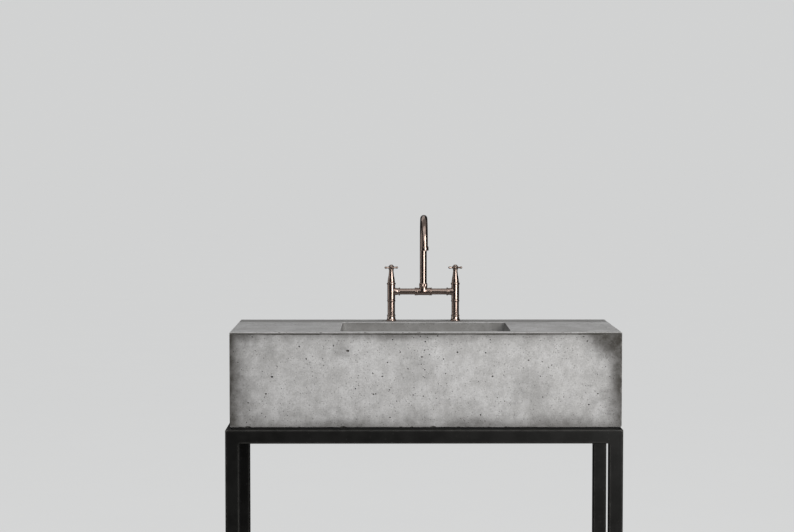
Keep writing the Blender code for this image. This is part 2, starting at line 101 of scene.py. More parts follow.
# %% [markdown]
# ## Studio
#
# Five soft lamps and a pale floor. The tall key lamp stands right of the camera, so that each tube of
# the tap gets one bright line a little right of its middle. A wide front lamp overhead fills the face
# of the trough, and a lamp behind lights the deck. Two more are large and dim, and are there for the
# copper to mirror: a wall on the left for a faint second band down each tube, and a ceiling for the
# swan neck's bend.
#
# Copper and black steel are mirrors with a tint, so what they show is the room. In a white room
# they look like plastic. The background is therefore pale to the camera but dark to reflections, and
# reflections don't see the floor. We could build dark screens round the set, but then they would
# stand in the way when the camera walks round.

# %% Lamps


AIM = Vector((0, 0, 0.90))  # about the height of the trough's rim


def lamp(name, azimuth, elevation, distance, size, watts, warmth=0.0):
    """A soft rectangular lamp that points at the trough. Azimuth 0 is in front, 90 on the right."""
    turn, lift = math.radians(azimuth), math.radians(elevation)
    towards = Vector((math.sin(turn) * math.cos(lift), -math.cos(turn) * math.cos(lift), math.sin(lift)))
    light = bpy.data.lights.new(name, "AREA")
    light.shape = "RECTANGLE"
    light.size, light.size_y = size
    light.energy = watts
    light.color = (1.0, 1.0 - 0.06 * warmth, 1.0 - 0.14 * warmth)
    made = bpy.data.objects.new(name, light)
    made.location = AIM + towards * distance
    made.rotation_euler = towards.to_track_quat("Z", "Y").to_euler()
    bpy.context.scene.collection.objects.link(made)
    return made


lamps = [
    lamp("key_lamp", 31, 16, 4.2, (2.2, 3.8), 148, 0.3),
    lamp("front_lamp", 6, 52, 4.4, (6.0, 5.0), 70),
    lamp("left_wall", -97, 6, 3.0, (2.8, 2.4), 10),
    lamp("back_lamp", 195, 42, 4.0, (3.0, 2.0), 10),
    lamp("ceiling", 180, 86, 3.2, (6.0, 4.5), 20),
]
print("lamps:", [(made.name, made.data.energy) for made in lamps])

# %% Floor and background
BACKGROUND = (0.640, 0.645, 0.645, 1)
shape = bmesh.new()
bmesh.ops.create_circle(shape, cap_ends=True, segments=96, radius=400.0)
floor_mesh = bpy.data.meshes.new("floor")
shape.to_mesh(floor_mesh)
shape.free()
floor = bpy.data.objects.new("floor", floor_mesh)
bpy.context.scene.collection.objects.link(floor)
floor.visible_glossy = False
floor.visible_diffuse = False

world = bpy.data.worlds.new("studio")
world.use_nodes = True
bpy.context.scene.world = world
tree = world.node_tree
ray = tree.nodes.new("ShaderNodeLightPath").outputs
seen = [tree.nodes.new("ShaderNodeMix") for _ in range(2)]
for mix, mask, under, over in (
    (seen[0], "Is Glossy Ray", (0.14, 0.14, 0.145, 1), (0.020, 0.020, 0.021, 1)),
    (seen[1], "Is Camera Ray", None, BACKGROUND),
):
    mix.data_type = "RGBA"
    tree.links.new(ray[mask], mix.inputs[0])
    if under:
        mix.inputs[6].default_value = under
    mix.inputs[7].default_value = over
tree.links.new(seen[0].outputs[2], seen[1].inputs[6])
tree.links.new(seen[1].outputs[2], tree.nodes["Background"].inputs["Color"])
bpy.context.scene.view_settings.view_transform = "Standard"
print("floor", floor.name, "and background", [round(share, 2) for share in BACKGROUND[:3]])

# %% [markdown]
# ## A row of node tools
#
# Materials are made of nodes, and a script that adds nodes one by one gets long. These six small
# functions keep each recipe readable: `add` makes any node and wires what it is given, `maths` and
# `fade` work on numbers, `tint` mixes two colours by a mask, `effect` starts a node group with named
# sockets, and `placed` puts such a group into a material. A group is worth making when more than one
# material needs the same effect.

# %% Node tools


def add(tree, kind, inputs=None, **settings):
    """Adds one node and returns its outputs. An input is a number, a colour or another node's output."""
    made = tree.nodes.new("ShaderNode" + kind)
    for name, value in settings.items():
        setattr(made, name, value)
    for name, value in (inputs or {}).items():
        if isinstance(value, bpy.types.NodeSocket):
            tree.links.new(value, made.inputs[name])
        else:
            made.inputs[name].default_value = value
    return made.outputs


def maths(tree, operation, *values):
    """One operation on numbers or on other nodes' outputs."""
    return add(tree, "Math", dict(enumerate(values)), operation=operation)[0]


def fade(tree, value, start, end, low=0.0, high=1.0):
    """A number that eases from low to high while value goes from start to end."""
    ends = {"Value": value, "From Min": start, "From Max": end, "To Min": low, "To Max": high}
    return add(tree, "MapRange", ends, interpolation_type="SMOOTHSTEP")[0]


def tint(tree, mask, under, over, strength=None):
    """Lays the colour over on the colour under, where the mask is 1. A strength weakens the mask."""
    if strength is not None:
        mask = maths(tree, "MULTIPLY", mask, strength)
    return add(tree, "Mix", {0: mask, 6: under, 7: over}, data_type="RGBA")[2]


def effect(name, takes, gives):
    """Starts a node group. Returns the group, its incoming sockets and its outgoing ones."""
    group = bpy.data.node_groups.new(name, "ShaderNodeTree")
    for label, start in takes.items():
        kind = "NodeSocketVector" if isinstance(start, tuple) else "NodeSocketFloat"
        group.interface.new_socket(label, in_out="INPUT", socket_type=kind).default_value = start
    for label in gives:
        group.interface.new_socket(label, in_out="OUTPUT", socket_type="NodeSocketFloat")
    entry = group.nodes.new("NodeGroupInput").outputs
    way_out = group.nodes.new("NodeGroupOutput").inputs
    return group, entry, way_out


def placed(tree, group, place, **sizes):
    """Puts an effect into a material or another effect. Patch_Size fills the socket "Patch Size"."""
    sockets = {label.replace("_", " "): value for label, value in sizes.items()}
    return add(tree, "Group", {"Position": place, **sockets}, node_tree=group)


print("node tools: add, maths, fade, tint, effect, placed")

# %% [markdown]
# ## Effects that several finishes share
#
# Concrete, copper, powder coat, rubber and plastic look different, but the same few things happen to
# all of them. They are cloudy rather than even, they have a grain and are peppered with small spots,
# their edges are lighter, partly rubbed and partly a painted highlight, their corners are darker,
# partly dirt and tarnish and partly painted shade, and dust settles on what faces up. Each of these is
# one node group here. A material places the group and gives it its own sizes and strengths.
#
# The lighter edges and the darker corners both come from the Ambient Occlusion node. It measures how
# much of the space round a point is filled. Asked about the outside, it finds corners. Asked about
# the inside, it finds edges. We could paint both by hand, but then every new piece would need painting.

# %% Effect: clouds
clouds, entry, way_out = effect(
    "clouds",
    {"Position": (0.0, 0.0, 0.0), "Size": 0.1, "Detail": 4.0, "Contrast": 0.2, "Swirl": 0.0},
    ["Clouds"],
)
scale = maths(clouds, "DIVIDE", 1.0, entry["Size"])
raw = add(clouds, "TexNoise", {
    "Vector": entry["Position"], "Scale": scale, "Detail": entry["Detail"], "Roughness": 0.58,
    "Distortion": entry["Swirl"],
})["Fac"]
darkest = maths(clouds, "SUBTRACT", 0.5, entry["Contrast"])
lightest = maths(clouds, "ADD", 0.5, entry["Contrast"])
clouds.links.new(fade(clouds, raw, darkest, lightest), way_out["Clouds"])
print("effect clouds:", [socket.name for socket in clouds.interface.items_tree])

# %% Effect: grain
grain, entry, way_out = effect("grain", {"Position": (0.0, 0.0, 0.0), "Size": 0.001}, ["Grain", "Specks"])
scale = maths(grain, "DIVIDE", 1.0, entry["Size"])
fine = add(grain, "TexNoise", {"Vector": entry["Position"], "Scale": scale, "Detail": 3.0})["Fac"]
cells = add(grain, "TexVoronoi", {"Vector": entry["Position"], "Scale": scale})
grain.links.new(fine, way_out["Grain"])
grain.links.new(add(grain, "SeparateColor", {0: cells["Color"]})["Red"], way_out["Specks"])
print("effect grain:", [socket.name for socket in grain.interface.items_tree])

# %% Effect: pepper
pepper, entry, way_out = effect(
    "pepper", {"Position": (0.0, 0.0, 0.0), "Size": 0.005, "Share": 0.2}, ["Dots", "Rings"]
)
scale = maths(pepper, "DIVIDE", 1.0, entry["Size"])
finer = maths(pepper, "MULTIPLY", scale, 2.5)
shake = add(pepper, "TexNoise", {"Vector": entry["Position"], "Scale": finer})
shake = add(pepper, "VectorMath", {0: shake["Color"], 1: (0.5, 0.5, 0.5)}, operation="SUBTRACT")[0]
half = maths(pepper, "MULTIPLY", entry["Size"], 0.5)
shake = add(pepper, "VectorMath", {0: shake, "Scale": half}, operation="SCALE")[0]
where = add(pepper, "VectorMath", {0: entry["Position"], 1: shake}, operation="ADD")[0]
cells = add(pepper, "TexVoronoi", {"Vector": where, "Scale": scale})
chance = add(pepper, "SeparateColor", {0: cells["Color"]})
chosen = maths(pepper, "LESS_THAN", chance["Green"], entry["Share"])
radius = fade(pepper, chance["Blue"], 0.0, 1.0, 0.14, 0.34)
inside = maths(pepper, "SUBTRACT", radius, cells["Distance"])
dots = fade(pepper, inside, -0.05, 0.10)
rings = maths(pepper, "SUBTRACT", fade(pepper, inside, -0.28, -0.02), dots)
pepper.links.new(maths(pepper, "MULTIPLY", dots, chosen), way_out["Dots"])
pepper.links.new(maths(pepper, "MULTIPLY", maths(pepper, "MAXIMUM", rings, 0.0), chosen), way_out["Rings"])
print("effect pepper:", [socket.name for socket in pepper.interface.items_tree])

# %% Effect: edge wear and highlight, corner dirt and shade


def hollow_or_edge(name, inside):
    """A group that finds edges, asked about the inside, or corners, asked about the outside."""
    group, entry, way_out = effect(
        name,
        {"Position": (0.0, 0.0, 0.0), "Reach": 0.003, "Patch Size": 0.03, "Patchiness": 0.5},
        ["Mask"],
    )
    open_share = add(
        group, "AmbientOcclusion", {"Distance": entry["Reach"]}, inside=inside, only_local=True, samples=6
    )["AO"]
    found = fade(group, open_share, 0.90, 0.45)
    patches = placed(
        group, clouds, entry["Position"], Size=entry["Patch Size"], Detail=5.0, Contrast=0.14
    )["Clouds"]
    uneven = maths(group, "MULTIPLY", maths(group, "SUBTRACT", 1.0, patches), entry["Patchiness"])
    group.links.new(
        maths(group, "MULTIPLY", found, maths(group, "SUBTRACT", 1.0, uneven)), way_out["Mask"]
    )
    return group


# Lighter edges: partly wear, partly a painted highlight. Darker corners: partly dirt and tarnish, partly
# painted shade.
edge_wear_and_highlight = hollow_or_edge("edge wear and highlight", True)
corner_dirt_and_shade = hollow_or_edge("corner dirt and shade", False)
print("effects:", edge_wear_and_highlight.name, "and", corner_dirt_and_shade.name)

# %% Effect: settled dust
settled_dust, entry, way_out = effect(
    "settled dust", {"Position": (0.0, 0.0, 0.0), "Patch Size": 0.05, "Amount": 0.3}, ["Mask"]
)
facing = add(settled_dust, "SeparateXYZ", {0: add(settled_dust, "NewGeometry")["Normal"]})["Z"]
upward = fade(settled_dust, facing, 0.55, 0.98)
patches = placed(
    settled_dust, clouds, entry["Position"], Size=entry["Patch Size"], Detail=6.0, Contrast=0.22
)["Clouds"]
dusty = maths(settled_dust, "MULTIPLY", upward, fade(settled_dust, patches, 0.0, 1.0, 0.35, 1.0))
settled_dust.links.new(maths(settled_dust, "MULTIPLY", dusty, entry["Amount"]), way_out["Mask"])
print("effect settled dust:", [socket.name for socket in settled_dust.interface.items_tree])

# %% [markdown]
# ## Starting a material
#
# Every finish starts alike: one Principled shader, and a position on the piece in metres from the
# Object output, so that a pattern has the same real size on a large casting and on a small nut.
# Values that are the same all over the surface, such as whether it is metal, go straight onto the
# shader's own sockets. Only what changes over the surface is wired.

# %% Material starter


def finish_called(name, metallic=0.0, **fixed):
    """A new material: its tree, its shader's inputs and the position on the piece in metres."""
    material = bpy.data.materials.new(name)
    material.use_nodes = True
    tree = material.node_tree
    shader = tree.nodes["Principled BSDF"].inputs
    shader["Metallic"].default_value = metallic
    for label, value in fixed.items():
        shader[label.replace("_", " ")].default_value = value
    place = add(tree, "TexCoord")["Object"]
    return material, tree, shader, place


def relief(tree, shader, height, depth, strength=1.0):
    """Wires a height from 0 to 1 to the shader as a bump of that depth in metres."""
    bumped = add(tree, "Bump", {"Height": height, "Distance": depth, "Strength": strength})
    tree.links.new(bumped["Normal"], shader["Normal"])


print("material starter ready")

# %% [markdown]
# ## Concrete: the cast skin
#
# Cast concrete is a print of its mould. The skin is nearly even, with faint clouds where the cement
# paste dried at different speeds, and faint upright streaks where water ran down the mould. It is
# peppered with pin holes. Years of hands and water darken it towards the arrises, most of all at
# the two ends, and a thin dark line runs along the joint under the rim.
#
# The darkening fades away from an arris the way ink soaks into paper: fast at first, then ever more
# slowly. An exponential does that, and a straight ramp doesn't. It needs the distance to the edge of
# the face. On a box that is easy: on one of its sides, one distance to the outside is zero, and the
# larger of the other pair says how far the upright arris is.

# %% Concrete: distances on the casting
trough_low, trough_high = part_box("basin")
trough_middle = middle_of("basin")
trough_half = (trough_high - trough_low) / 2
RIM = trough_high.z
WASTE = middle_of("waste_body")


def distances_on_casting(tree, place):
    """How far a point is from the upright arrises, the outside, the rim and the foot, in metres."""
    from_middle = add(tree, "VectorMath", {0: place, 1: trough_middle}, operation="SUBTRACT")[0]
    split = add(tree, "SeparateXYZ", {0: from_middle})
    sides = [
        maths(tree, "SUBTRACT", half, maths(tree, "ABSOLUTE", split[axis]))
        for axis, half in (("X", trough_half.x), ("Y", trough_half.y))
    ]
    upright = maths(tree, "MAXIMUM", *sides)
    inside = maths(tree, "MINIMUM", *sides)
    below_rim = maths(tree, "SUBTRACT", trough_half.z, split["Z"])
    above_foot = maths(tree, "ADD", trough_half.z, split["Z"])
    return upright, inside, below_rim, above_foot


def soak(tree, distance, strength, reach):
    """Strongest at distance 0, and a third of that at each further reach."""
    faded = maths(tree, "EXPONENT", maths(tree, "DIVIDE", maths(tree, "MAXIMUM", distance, 0.0), -reach))
    return maths(tree, "MULTIPLY", faded, strength)


def both(tree, first, second):
    """Two masks, one laid over the other."""
    bare = [maths(tree, "SUBTRACT", 1.0, mask) for mask in (first, second)]
    return maths(tree, "SUBTRACT", 1.0, maths(tree, "MULTIPLY", *bare))


print("casting, metres:", [round(side, 4) for side in trough_half * 2], "rim at", round(RIM, 4))

# %% Concrete: the skin's colours
SKIN_LIGHT = (0.680, 0.681, 0.684, 1)
SKIN_DARK = (0.562, 0.560, 0.557, 1)
PASTE_DARK = (0.300, 0.298, 0.292, 1)
PASTE_LIGHT = (0.760, 0.760, 0.755, 1)
# The bowl's dark is painted shade. The damp dark marks the wet ring round the waste, and is painted shade
# along the back of the top.
BOWL_SHADE = (0.235, 0.232, 0.225, 1)
DAMP_AND_SHADE = (0.130, 0.127, 0.118, 1)
# dark grime, also used as painted shade in corners
GRIME_AND_SHADE = (0.036, 0.032, 0.026, 1)
LINE_DEPTH = 0.0051  # of the dark line, under the rim
STAINS = (  # from the left arris, below the rim, half width, half height in metres, and strength
    (1.108, 0.008, 0.100, 0.082, 1.0), (1.118, 0.130, 0.036, 0.110, 0.72),
    (0.040, 0.012, 0.034, 0.020, 0.60), (0.000, 0.150, 0.040, 0.150, 0.35),
    (0.300, 0.268, 0.120, 0.020, 0.40), (0.700, 0.266, 0.090, 0.024, 0.40),
    (0.930, 0.262, 0.110, 0.030, 0.35), (0.480, 0.008, 0.160, 0.016, 0.35),
    (0.320, 0.052, 0.030, 0.024, 0.30), (0.530, 0.110, 0.060, 0.050, 0.16),
    (0.860, 0.160, 0.070, 0.060, 0.22),
)


def stains_on_front(tree, place):
    """Soft dark patches on the front face, each an ellipse that fades outwards."""
    total = None
    for along, below, wide, high, strength in STAINS:
        centre = (trough_low.x + along, trough_low.y, RIM - below)
        away = add(tree, "VectorMath", {0: place, 1: centre}, operation="SUBTRACT")[0]
        shrunk = add(tree, "VectorMath", {0: away, 1: (1 / wide, 12.0, 1 / high)}, operation="MULTIPLY")[0]
        length = add(tree, "VectorMath", {0: shrunk}, operation="LENGTH")["Value"]
        patch = fade(tree, length, 0.25, 1.3, strength, 0.0)
        total = patch if total is None else both(tree, total, patch)
    return total


print(len(STAINS), "stains on the front")

# %% Concrete: the skin's material


def make_cast_skin():
    """The finish of all that the mould, the trowel and the scrubbing brush touched."""
    material, tree, shader, place = finish_called("cast_concrete", Specular_IOR_Level=0.30)
    upright, inside, below_rim, above_foot = distances_on_casting(tree, place)
    facing = add(tree, "SeparateXYZ", {0: add(tree, "NewGeometry")["Normal"]})["Z"]
    on_wall = fade(tree, maths(tree, "ABSOLUTE", facing), 0.75, 0.35)
    on_top = fade(tree, facing, 0.75, 0.95)

    def cloud(size, detail, contrast, where=place):
        """Clouds of this size in metres."""
        return placed(tree, clouds, where, Size=size, Detail=detail, Contrast=contrast)["Clouds"]

    def pepper_of(size, share):
        """Pin holes of this spacing in metres, in this share of all places."""
        return placed(tree, pepper, place, Size=size, Share=share)

    broad = cloud(0.085, 5.0, 0.22)
    patchy = cloud(0.024, 6.0, 0.24)
    sand = placed(tree, grain, place, Size=0.0013)
    speckle = cloud(0.0042, 3.0, 0.20)
    colour = tint(tree, broad, SKIN_DARK, SKIN_LIGHT)
    colour = tint(tree, fade(tree, patchy, 0.0, 1.0, 0.34, 0.0), colour, PASTE_DARK)
    stretched = add(tree, "VectorMath", {0: place, 1: (1.0, 1.0, 0.10)}, operation="MULTIPLY")[0]
    streak = cloud(0.016, 3.0, 0.25, stretched)
    streak = maths(tree, "MULTIPLY", fade(tree, streak, 0.0, 1.0, 0.13, 0.0), on_wall)
    colour = tint(tree, streak, colour, PASTE_DARK)
    colour = tint(tree, fade(tree, sand["Grain"], 0.35, 0.65, 0.22, 0.0), colour, PASTE_DARK)
    colour = tint(tree, fade(tree, speckle, 0.0, 0.35, 0.40, 0.0), colour, PASTE_DARK)
    colour = tint(tree, fade(tree, speckle, 0.70, 1.0, 0.0, 0.22), colour, PASTE_LIGHT)
    colour = tint(tree, fade(tree, sand["Specks"], 0.93, 0.97, 0.0, 0.16), colour, GRIME_AND_SHADE)
    colour = tint(tree, fade(tree, sand["Specks"], 0.06, 0.02, 0.0, 0.22), colour, PASTE_LIGHT)
    fine, coarse = pepper_of(0.0056, 0.20), pepper_of(0.015, 0.20)
    colour = tint(tree, fine["Rings"], colour, PASTE_LIGHT, 0.16)
    colour = tint(tree, coarse["Rings"], colour, PASTE_LIGHT, 0.20)
    colour = tint(tree, fine["Dots"], colour, GRIME_AND_SHADE, 0.50)
    colour = tint(tree, coarse["Dots"], colour, GRIME_AND_SHADE, 0.42)

    # Grime soaks in from the arrises. Clouds make its reach uneven.
    uneven = fade(tree, cloud(0.050, 6.0, 0.30), 0.0, 1.0, 0.62, 1.45)
    ends = soak(tree, maths(tree, "MULTIPLY", upright, uneven), 1.0, 0.034)
    ends = both(tree, ends, soak(tree, upright, 0.50, 0.012))
    foot = soak(tree, maths(tree, "MULTIPLY", above_foot, uneven), 0.62, 0.033)
    under_rim = maths(tree, "SUBTRACT", below_rim, 0.004)
    brow = soak(tree, maths(tree, "MULTIPLY", under_rim, uneven), 0.66, 0.015)
    dark = both(tree, both(tree, ends, foot), both(tree, brow, stains_on_front(tree, place)))
    dark = maths(tree, "MULTIPLY", dark, fade(tree, patchy, 0.0, 1.0, 1.0, 0.86))
    colour = tint(tree, dark, colour, GRIME_AND_SHADE, on_wall)

    # The top is trowelled, not moulded: greyer. A band along the back of the top is painted darker,
    # as shade. The inside of the bowl is painted darker too, as shade in the hollow.
    trowelled = maths(tree, "MULTIPLY", on_top, fade(tree, broad, 0.0, 1.0, 0.40, 0.26))
    colour = tint(tree, trowelled, colour, PASTE_DARK)
    depth = add(tree, "SeparateXYZ", {0: place})["Y"]
    at_back = fade(tree, depth, trough_high.y - 0.115, trough_high.y - 0.085, 0.0, 0.50)
    colour = tint(tree, at_back, colour, DAMP_AND_SHADE, on_top)
    off_top = maths(tree, "SUBTRACT", 1.0, on_top)
    in_bowl = maths(tree, "MULTIPLY", fade(tree, inside, 0.028, 0.037), off_top)
    in_bowl = maths(tree, "MULTIPLY", in_bowl, fade(tree, below_rim, 0.0, 0.010, 0.0, 0.80))
    in_bowl = maths(tree, "MULTIPLY", in_bowl, fade(tree, patchy, 0.0, 1.0, 1.08, 0.88))
    colour = tint(tree, in_bowl, colour, BOWL_SHADE)

    # Hairline crazing shows only in places.
    bent = add(tree, "TexNoise", {"Vector": place, "Scale": 18.0})["Color"]
    warp = add(tree, "VectorMath", {0: bent, 1: (0.03, 0.03, 0.03), 2: place}, operation="MULTIPLY_ADD")[0]
    crazing = add(tree, "TexVoronoi", {"Vector": warp, "Scale": 9.0}, feature="DISTANCE_TO_EDGE")
    hairline = fade(tree, crazing["Distance"], 0.006, 0.001, 0.0, 0.40)
    hairline = maths(tree, "MULTIPLY", hairline, fade(tree, cloud(0.080, 3.0, 0.12), 0.8, 1.0))
    colour = tint(tree, hairline, colour, PASTE_DARK)

    # A dark water mark round the waste, on the bowl's floor.
    flat = add(tree, "VectorMath", {0: place, 1: (WASTE.x, WASTE.y, 0.0)}, operation="SUBTRACT")[0]
    flat = add(tree, "VectorMath", {0: flat, 1: (1.0, 1.0, 0.0)}, operation="MULTIPLY")[0]
    from_waste = add(tree, "VectorMath", {0: flat}, operation="LENGTH")["Value"]
    deep = fade(tree, below_rim, 0.105, 0.135)
    off_flange = maths(tree, "SUBTRACT", from_waste, 0.034)
    wet = soak(tree, maths(tree, "MULTIPLY", off_flange, uneven), 0.45, 0.055)
    colour = tint(tree, wet, colour, DAMP_AND_SHADE, deep)

    # The arrises are lighter, partly rubbed and partly a painted highlight. The inner corners are darker,
    # partly dirt and partly painted shade.
    edge = placed(tree, edge_wear_and_highlight, place, Reach=0.0045, Patch_Size=0.030, Patchiness=0.7)["Mask"]
    colour = tint(tree, edge, colour, PASTE_LIGHT, 0.50)
    corner = placed(tree, corner_dirt_and_shade, place, Reach=0.012, Patch_Size=0.040, Patchiness=0.5)["Mask"]
    colour = tint(tree, corner, colour, GRIME_AND_SHADE, 0.75)

    # A thin dark line along the groove under the rim, broken up along its length.
    off_line = maths(tree, "ABSOLUTE", maths(tree, "SUBTRACT", below_rim, LINE_DEPTH))
    line = fade(tree, off_line, 0.0026, 0.0013, 0.0, 0.95)
    line = maths(tree, "MULTIPLY", line, fade(tree, cloud(0.060, 4.0, 0.20), 0.0, 1.0, 0.62, 1.0))
    colour = tint(tree, line, colour, GRIME_AND_SHADE, fade(tree, inside, 0.020, 0.012))

    tree.links.new(colour, shader["Base Color"])
    tree.links.new(fade(tree, cloud(0.070, 4.0, 0.20), 0.0, 1.0, 0.58, 0.80), shader["Roughness"])
    height = maths(tree, "MULTIPLY", sand["Grain"], 0.25)
    height = maths(tree, "ADD", height, maths(tree, "MULTIPLY", patchy, 0.25))
    height = maths(tree, "SUBTRACT", height, maths(tree, "MULTIPLY", fine["Dots"], 0.6))
    height = maths(tree, "SUBTRACT", height, coarse["Dots"])
    relief(tree, shader, height, 0.0009, 0.8)
    return material


cast_skin = make_cast_skin()
print(cast_skin.name, "has", len(cast_skin.node_tree.nodes), "nodes")

# %% [markdown]
# ## Concrete: the broken inside
#
# A chip or a blowhole shows what is under the skin: coarse sand in a darker, rougher paste, darker
# still in its corners, partly dirt and partly painted shade. It needs its own material, because no
# mask could follow every little hole. The cutting tools will wear it, and the Boolean passes it on
# to the faces that they cut.

# %% Concrete: the inside's material


def make_broken_core():
    """The finish of what chips and blowholes lay bare."""
    material, tree, shader, place = finish_called("broken_concrete", Specular_IOR_Level=0.25)
    shader["Roughness"].default_value = 0.92
    sand = placed(tree, grain, place, Size=0.0011)
    colour = tint(tree, sand["Specks"], (0.085, 0.080, 0.074, 1), (0.260, 0.255, 0.245, 1))
    # Darker in its corners: partly dirt, partly painted shade.
    corner = placed(tree, corner_dirt_and_shade, place, Reach=0.004, Patch_Size=0.010, Patchiness=0.3)["Mask"]
    tree.links.new(tint(tree, corner, colour, GRIME_AND_SHADE), shader["Base Color"])
    relief(tree, shader, sand["Grain"], 0.0006)
    return material


broken_core = make_broken_core()
print(broken_core.name, "has", len(broken_core.node_tree.nodes), "nodes")

# %% [markdown]
# ## Aged copper
#
# The tap is brass with a copper plating that was polished and then left to age. Metal has no colour
# of its own beneath the shine: the base colour only tints what it mirrors. So the interest lies in
# the roughness, where fingers and dried drops break up the mirror, and in the brown tarnish that
# stays in the grooves, where no cloth reaches.

# %% Aged copper
TARNISH = (0.060, 0.036, 0.026, 1)


def make_tarnished_copper():
    """The finish of the tap and the drain."""
    material, tree, shader, place = finish_called("tarnished_copper", metallic=1.0)

    def cloud(size, detail, contrast):
        """Slightly swirled clouds of this size in metres."""
        return placed(
            tree, clouds, place, Size=size, Detail=detail, Contrast=contrast, Swirl=0.4
        )["Clouds"]

    smear, bloom = cloud(0.030, 4.0, 0.24), cloud(0.007, 3.0, 0.20)
    spots = placed(tree, pepper, place, Size=0.0030, Share=0.07)["Dots"]
    corner = placed(tree, corner_dirt_and_shade, place, Reach=0.003, Patch_Size=0.012, Patchiness=0.35)["Mask"]
    edge = placed(tree, edge_wear_and_highlight, place, Reach=0.0012, Patch_Size=0.014, Patchiness=0.5)["Mask"]
    colour = tint(tree, smear, (0.375, 0.288, 0.248, 1), (0.470, 0.373, 0.325, 1))
    colour = tint(tree, fade(tree, bloom, 0.6, 1.0, 0.0, 0.30), colour, (0.290, 0.180, 0.138, 1))
    colour = tint(tree, spots, colour, TARNISH, 0.45)
    colour = tint(tree, edge, colour, (0.86, 0.72, 0.62, 1), 0.6)
    colour = tint(tree, corner, colour, TARNISH)
    tree.links.new(colour, shader["Base Color"])
    roughness = fade(tree, smear, 0.0, 1.0, 0.21, 0.15)
    roughness = maths(tree, "ADD", roughness, fade(tree, bloom, 0.6, 1.0, 0.0, 0.05))
    roughness = maths(tree, "ADD", roughness, maths(tree, "MULTIPLY", corner, 0.35))
    roughness = maths(tree, "ADD", roughness, maths(tree, "MULTIPLY", spots, 0.03))
    tree.links.new(roughness, shader["Roughness"])
    waves = cloud(0.035, 0.0, 0.5)
    relief(tree, shader, waves, 0.00003)
    return material


tarnished_copper = make_tarnished_copper()
print(tarnished_copper.name, "has", len(tarnished_copper.node_tree.nodes), "nodes")

# %% [markdown]
# ## Powder coat, plastic and rubber
#
# Three blacks that must not look alike. Powder coat is a baked film: it has the faint orange peel of
# paint that flowed, it thins to a lighter line along an edge, which is partly a painted highlight,
# and dust shows on it. The feet's plastic has the fine spark-eroded grain of its mould. Rubber is the
# dullest, and chalky. All three are darker in their corners, partly dirt and partly painted shade.
# One function makes all three, because only the sizes and strengths differ.

# %% The three blacks


def make_black(name, colour, gloss, grain_size, grain_depth, edge_colour, edge_reach, dust):
    """A black finish. gloss is the range of its roughness, from shiny to dull."""
    material, tree, shader, place = finish_called(name, Specular_IOR_Level=0.22)
    broad = placed(tree, clouds, place, Size=0.045, Detail=5.0, Contrast=0.20)["Clouds"]
    peel = placed(tree, grain, place, Size=grain_size)
    edge = placed(tree, edge_wear_and_highlight, place, Reach=edge_reach, Patch_Size=0.022, Patchiness=0.5)["Mask"]
    powder = placed(tree, settled_dust, place, Patch_Size=0.030, Amount=dust)["Mask"]
    corner = placed(tree, corner_dirt_and_shade, place, Reach=0.006, Patch_Size=0.020, Patchiness=0.6)["Mask"]
    nibs = placed(tree, pepper, place, Size=0.009, Share=0.12)["Dots"]
    lighter = tuple(1.5 * share for share in colour)
    shade = tint(tree, broad, (*colour, 1), (*lighter, 1))
    # A lighter line along the edges: partly wear, partly a painted highlight.
    shade = tint(tree, edge, shade, (*edge_colour, 1), 0.8)
    shade = tint(tree, nibs, shade, (*edge_colour, 1), 0.14)
    shade = tint(tree, powder, shade, (0.150, 0.142, 0.130, 1))
    # Darker corners: partly dirt, partly painted shade.
    shade = tint(tree, corner, shade, (0.040, 0.034, 0.028, 1), 0.35)
    tree.links.new(shade, shader["Base Color"])
    shiny, dull = gloss
    roughness = fade(tree, broad, 0.0, 1.0, shiny, dull)
    roughness = maths(tree, "ADD", roughness, maths(tree, "MULTIPLY", powder, 0.35))
    tree.links.new(roughness, shader["Roughness"])
    relief(tree, shader, peel["Grain"], grain_depth)
    return material


powder_coat = make_black(
    "powder_coat", (0.0066, 0.0066, 0.0062), gloss=(0.37, 0.43), grain_size=0.0016, grain_depth=0.00006,
    edge_colour=(0.110, 0.107, 0.100), edge_reach=0.0080, dust=0.07,
)
moulded_plastic = make_black(
    "moulded_plastic", (0.016, 0.016, 0.016), gloss=(0.48, 0.60), grain_size=0.0006, grain_depth=0.00006,
    edge_colour=(0.060, 0.060, 0.060), edge_reach=0.0010, dust=0.22,
)
black_rubber = make_black(
    "black_rubber", (0.012, 0.012, 0.012), gloss=(0.74, 0.90), grain_size=0.0004, grain_depth=0.00008,
    edge_colour=(0.040, 0.040, 0.038), edge_reach=0.0008, dust=0.30,
)
print("blacks:", powder_coat.name, moulded_plastic.name, black_rubber.name)

# %% [markdown]
# ## The floor's paint
#
# The floor must look as pale as the background far away, where no lamp reaches, or a line shows
# where they meet. So most of its brightness is a glow of its own, and its paint is dark: lamps that
# stand close to it would burn out a pale one. A glowing floor hardly takes a shadow, so the glow dims
# where ambient occlusion finds something close above. It keeps a faint cloudiness, so that it reads
# as a surface and not as a hole in the picture.

# %% Floor paint
material, tree, shader, place = finish_called("pale_floor", Roughness=0.85, Specular_IOR_Level=0.1)
faint = placed(tree, clouds, place, Size=0.6, Detail=6.0, Contrast=0.30)["Clouds"]
tree.links.new(tint(tree, faint, (0.060, 0.060, 0.059, 1), (0.072, 0.072, 0.071, 1)), shader["Base Color"])
shader["Emission Color"].default_value = BACKGROUND
open_above = add(tree, "AmbientOcclusion", {"Distance": 0.45}, samples=8)["AO"]
tree.links.new(fade(tree, open_above, 0.10, 1.0, 0.50, 0.985), shader["Emission Strength"])
floor.data.materials.append(material)
print(material.name, "lies on", floor.name)

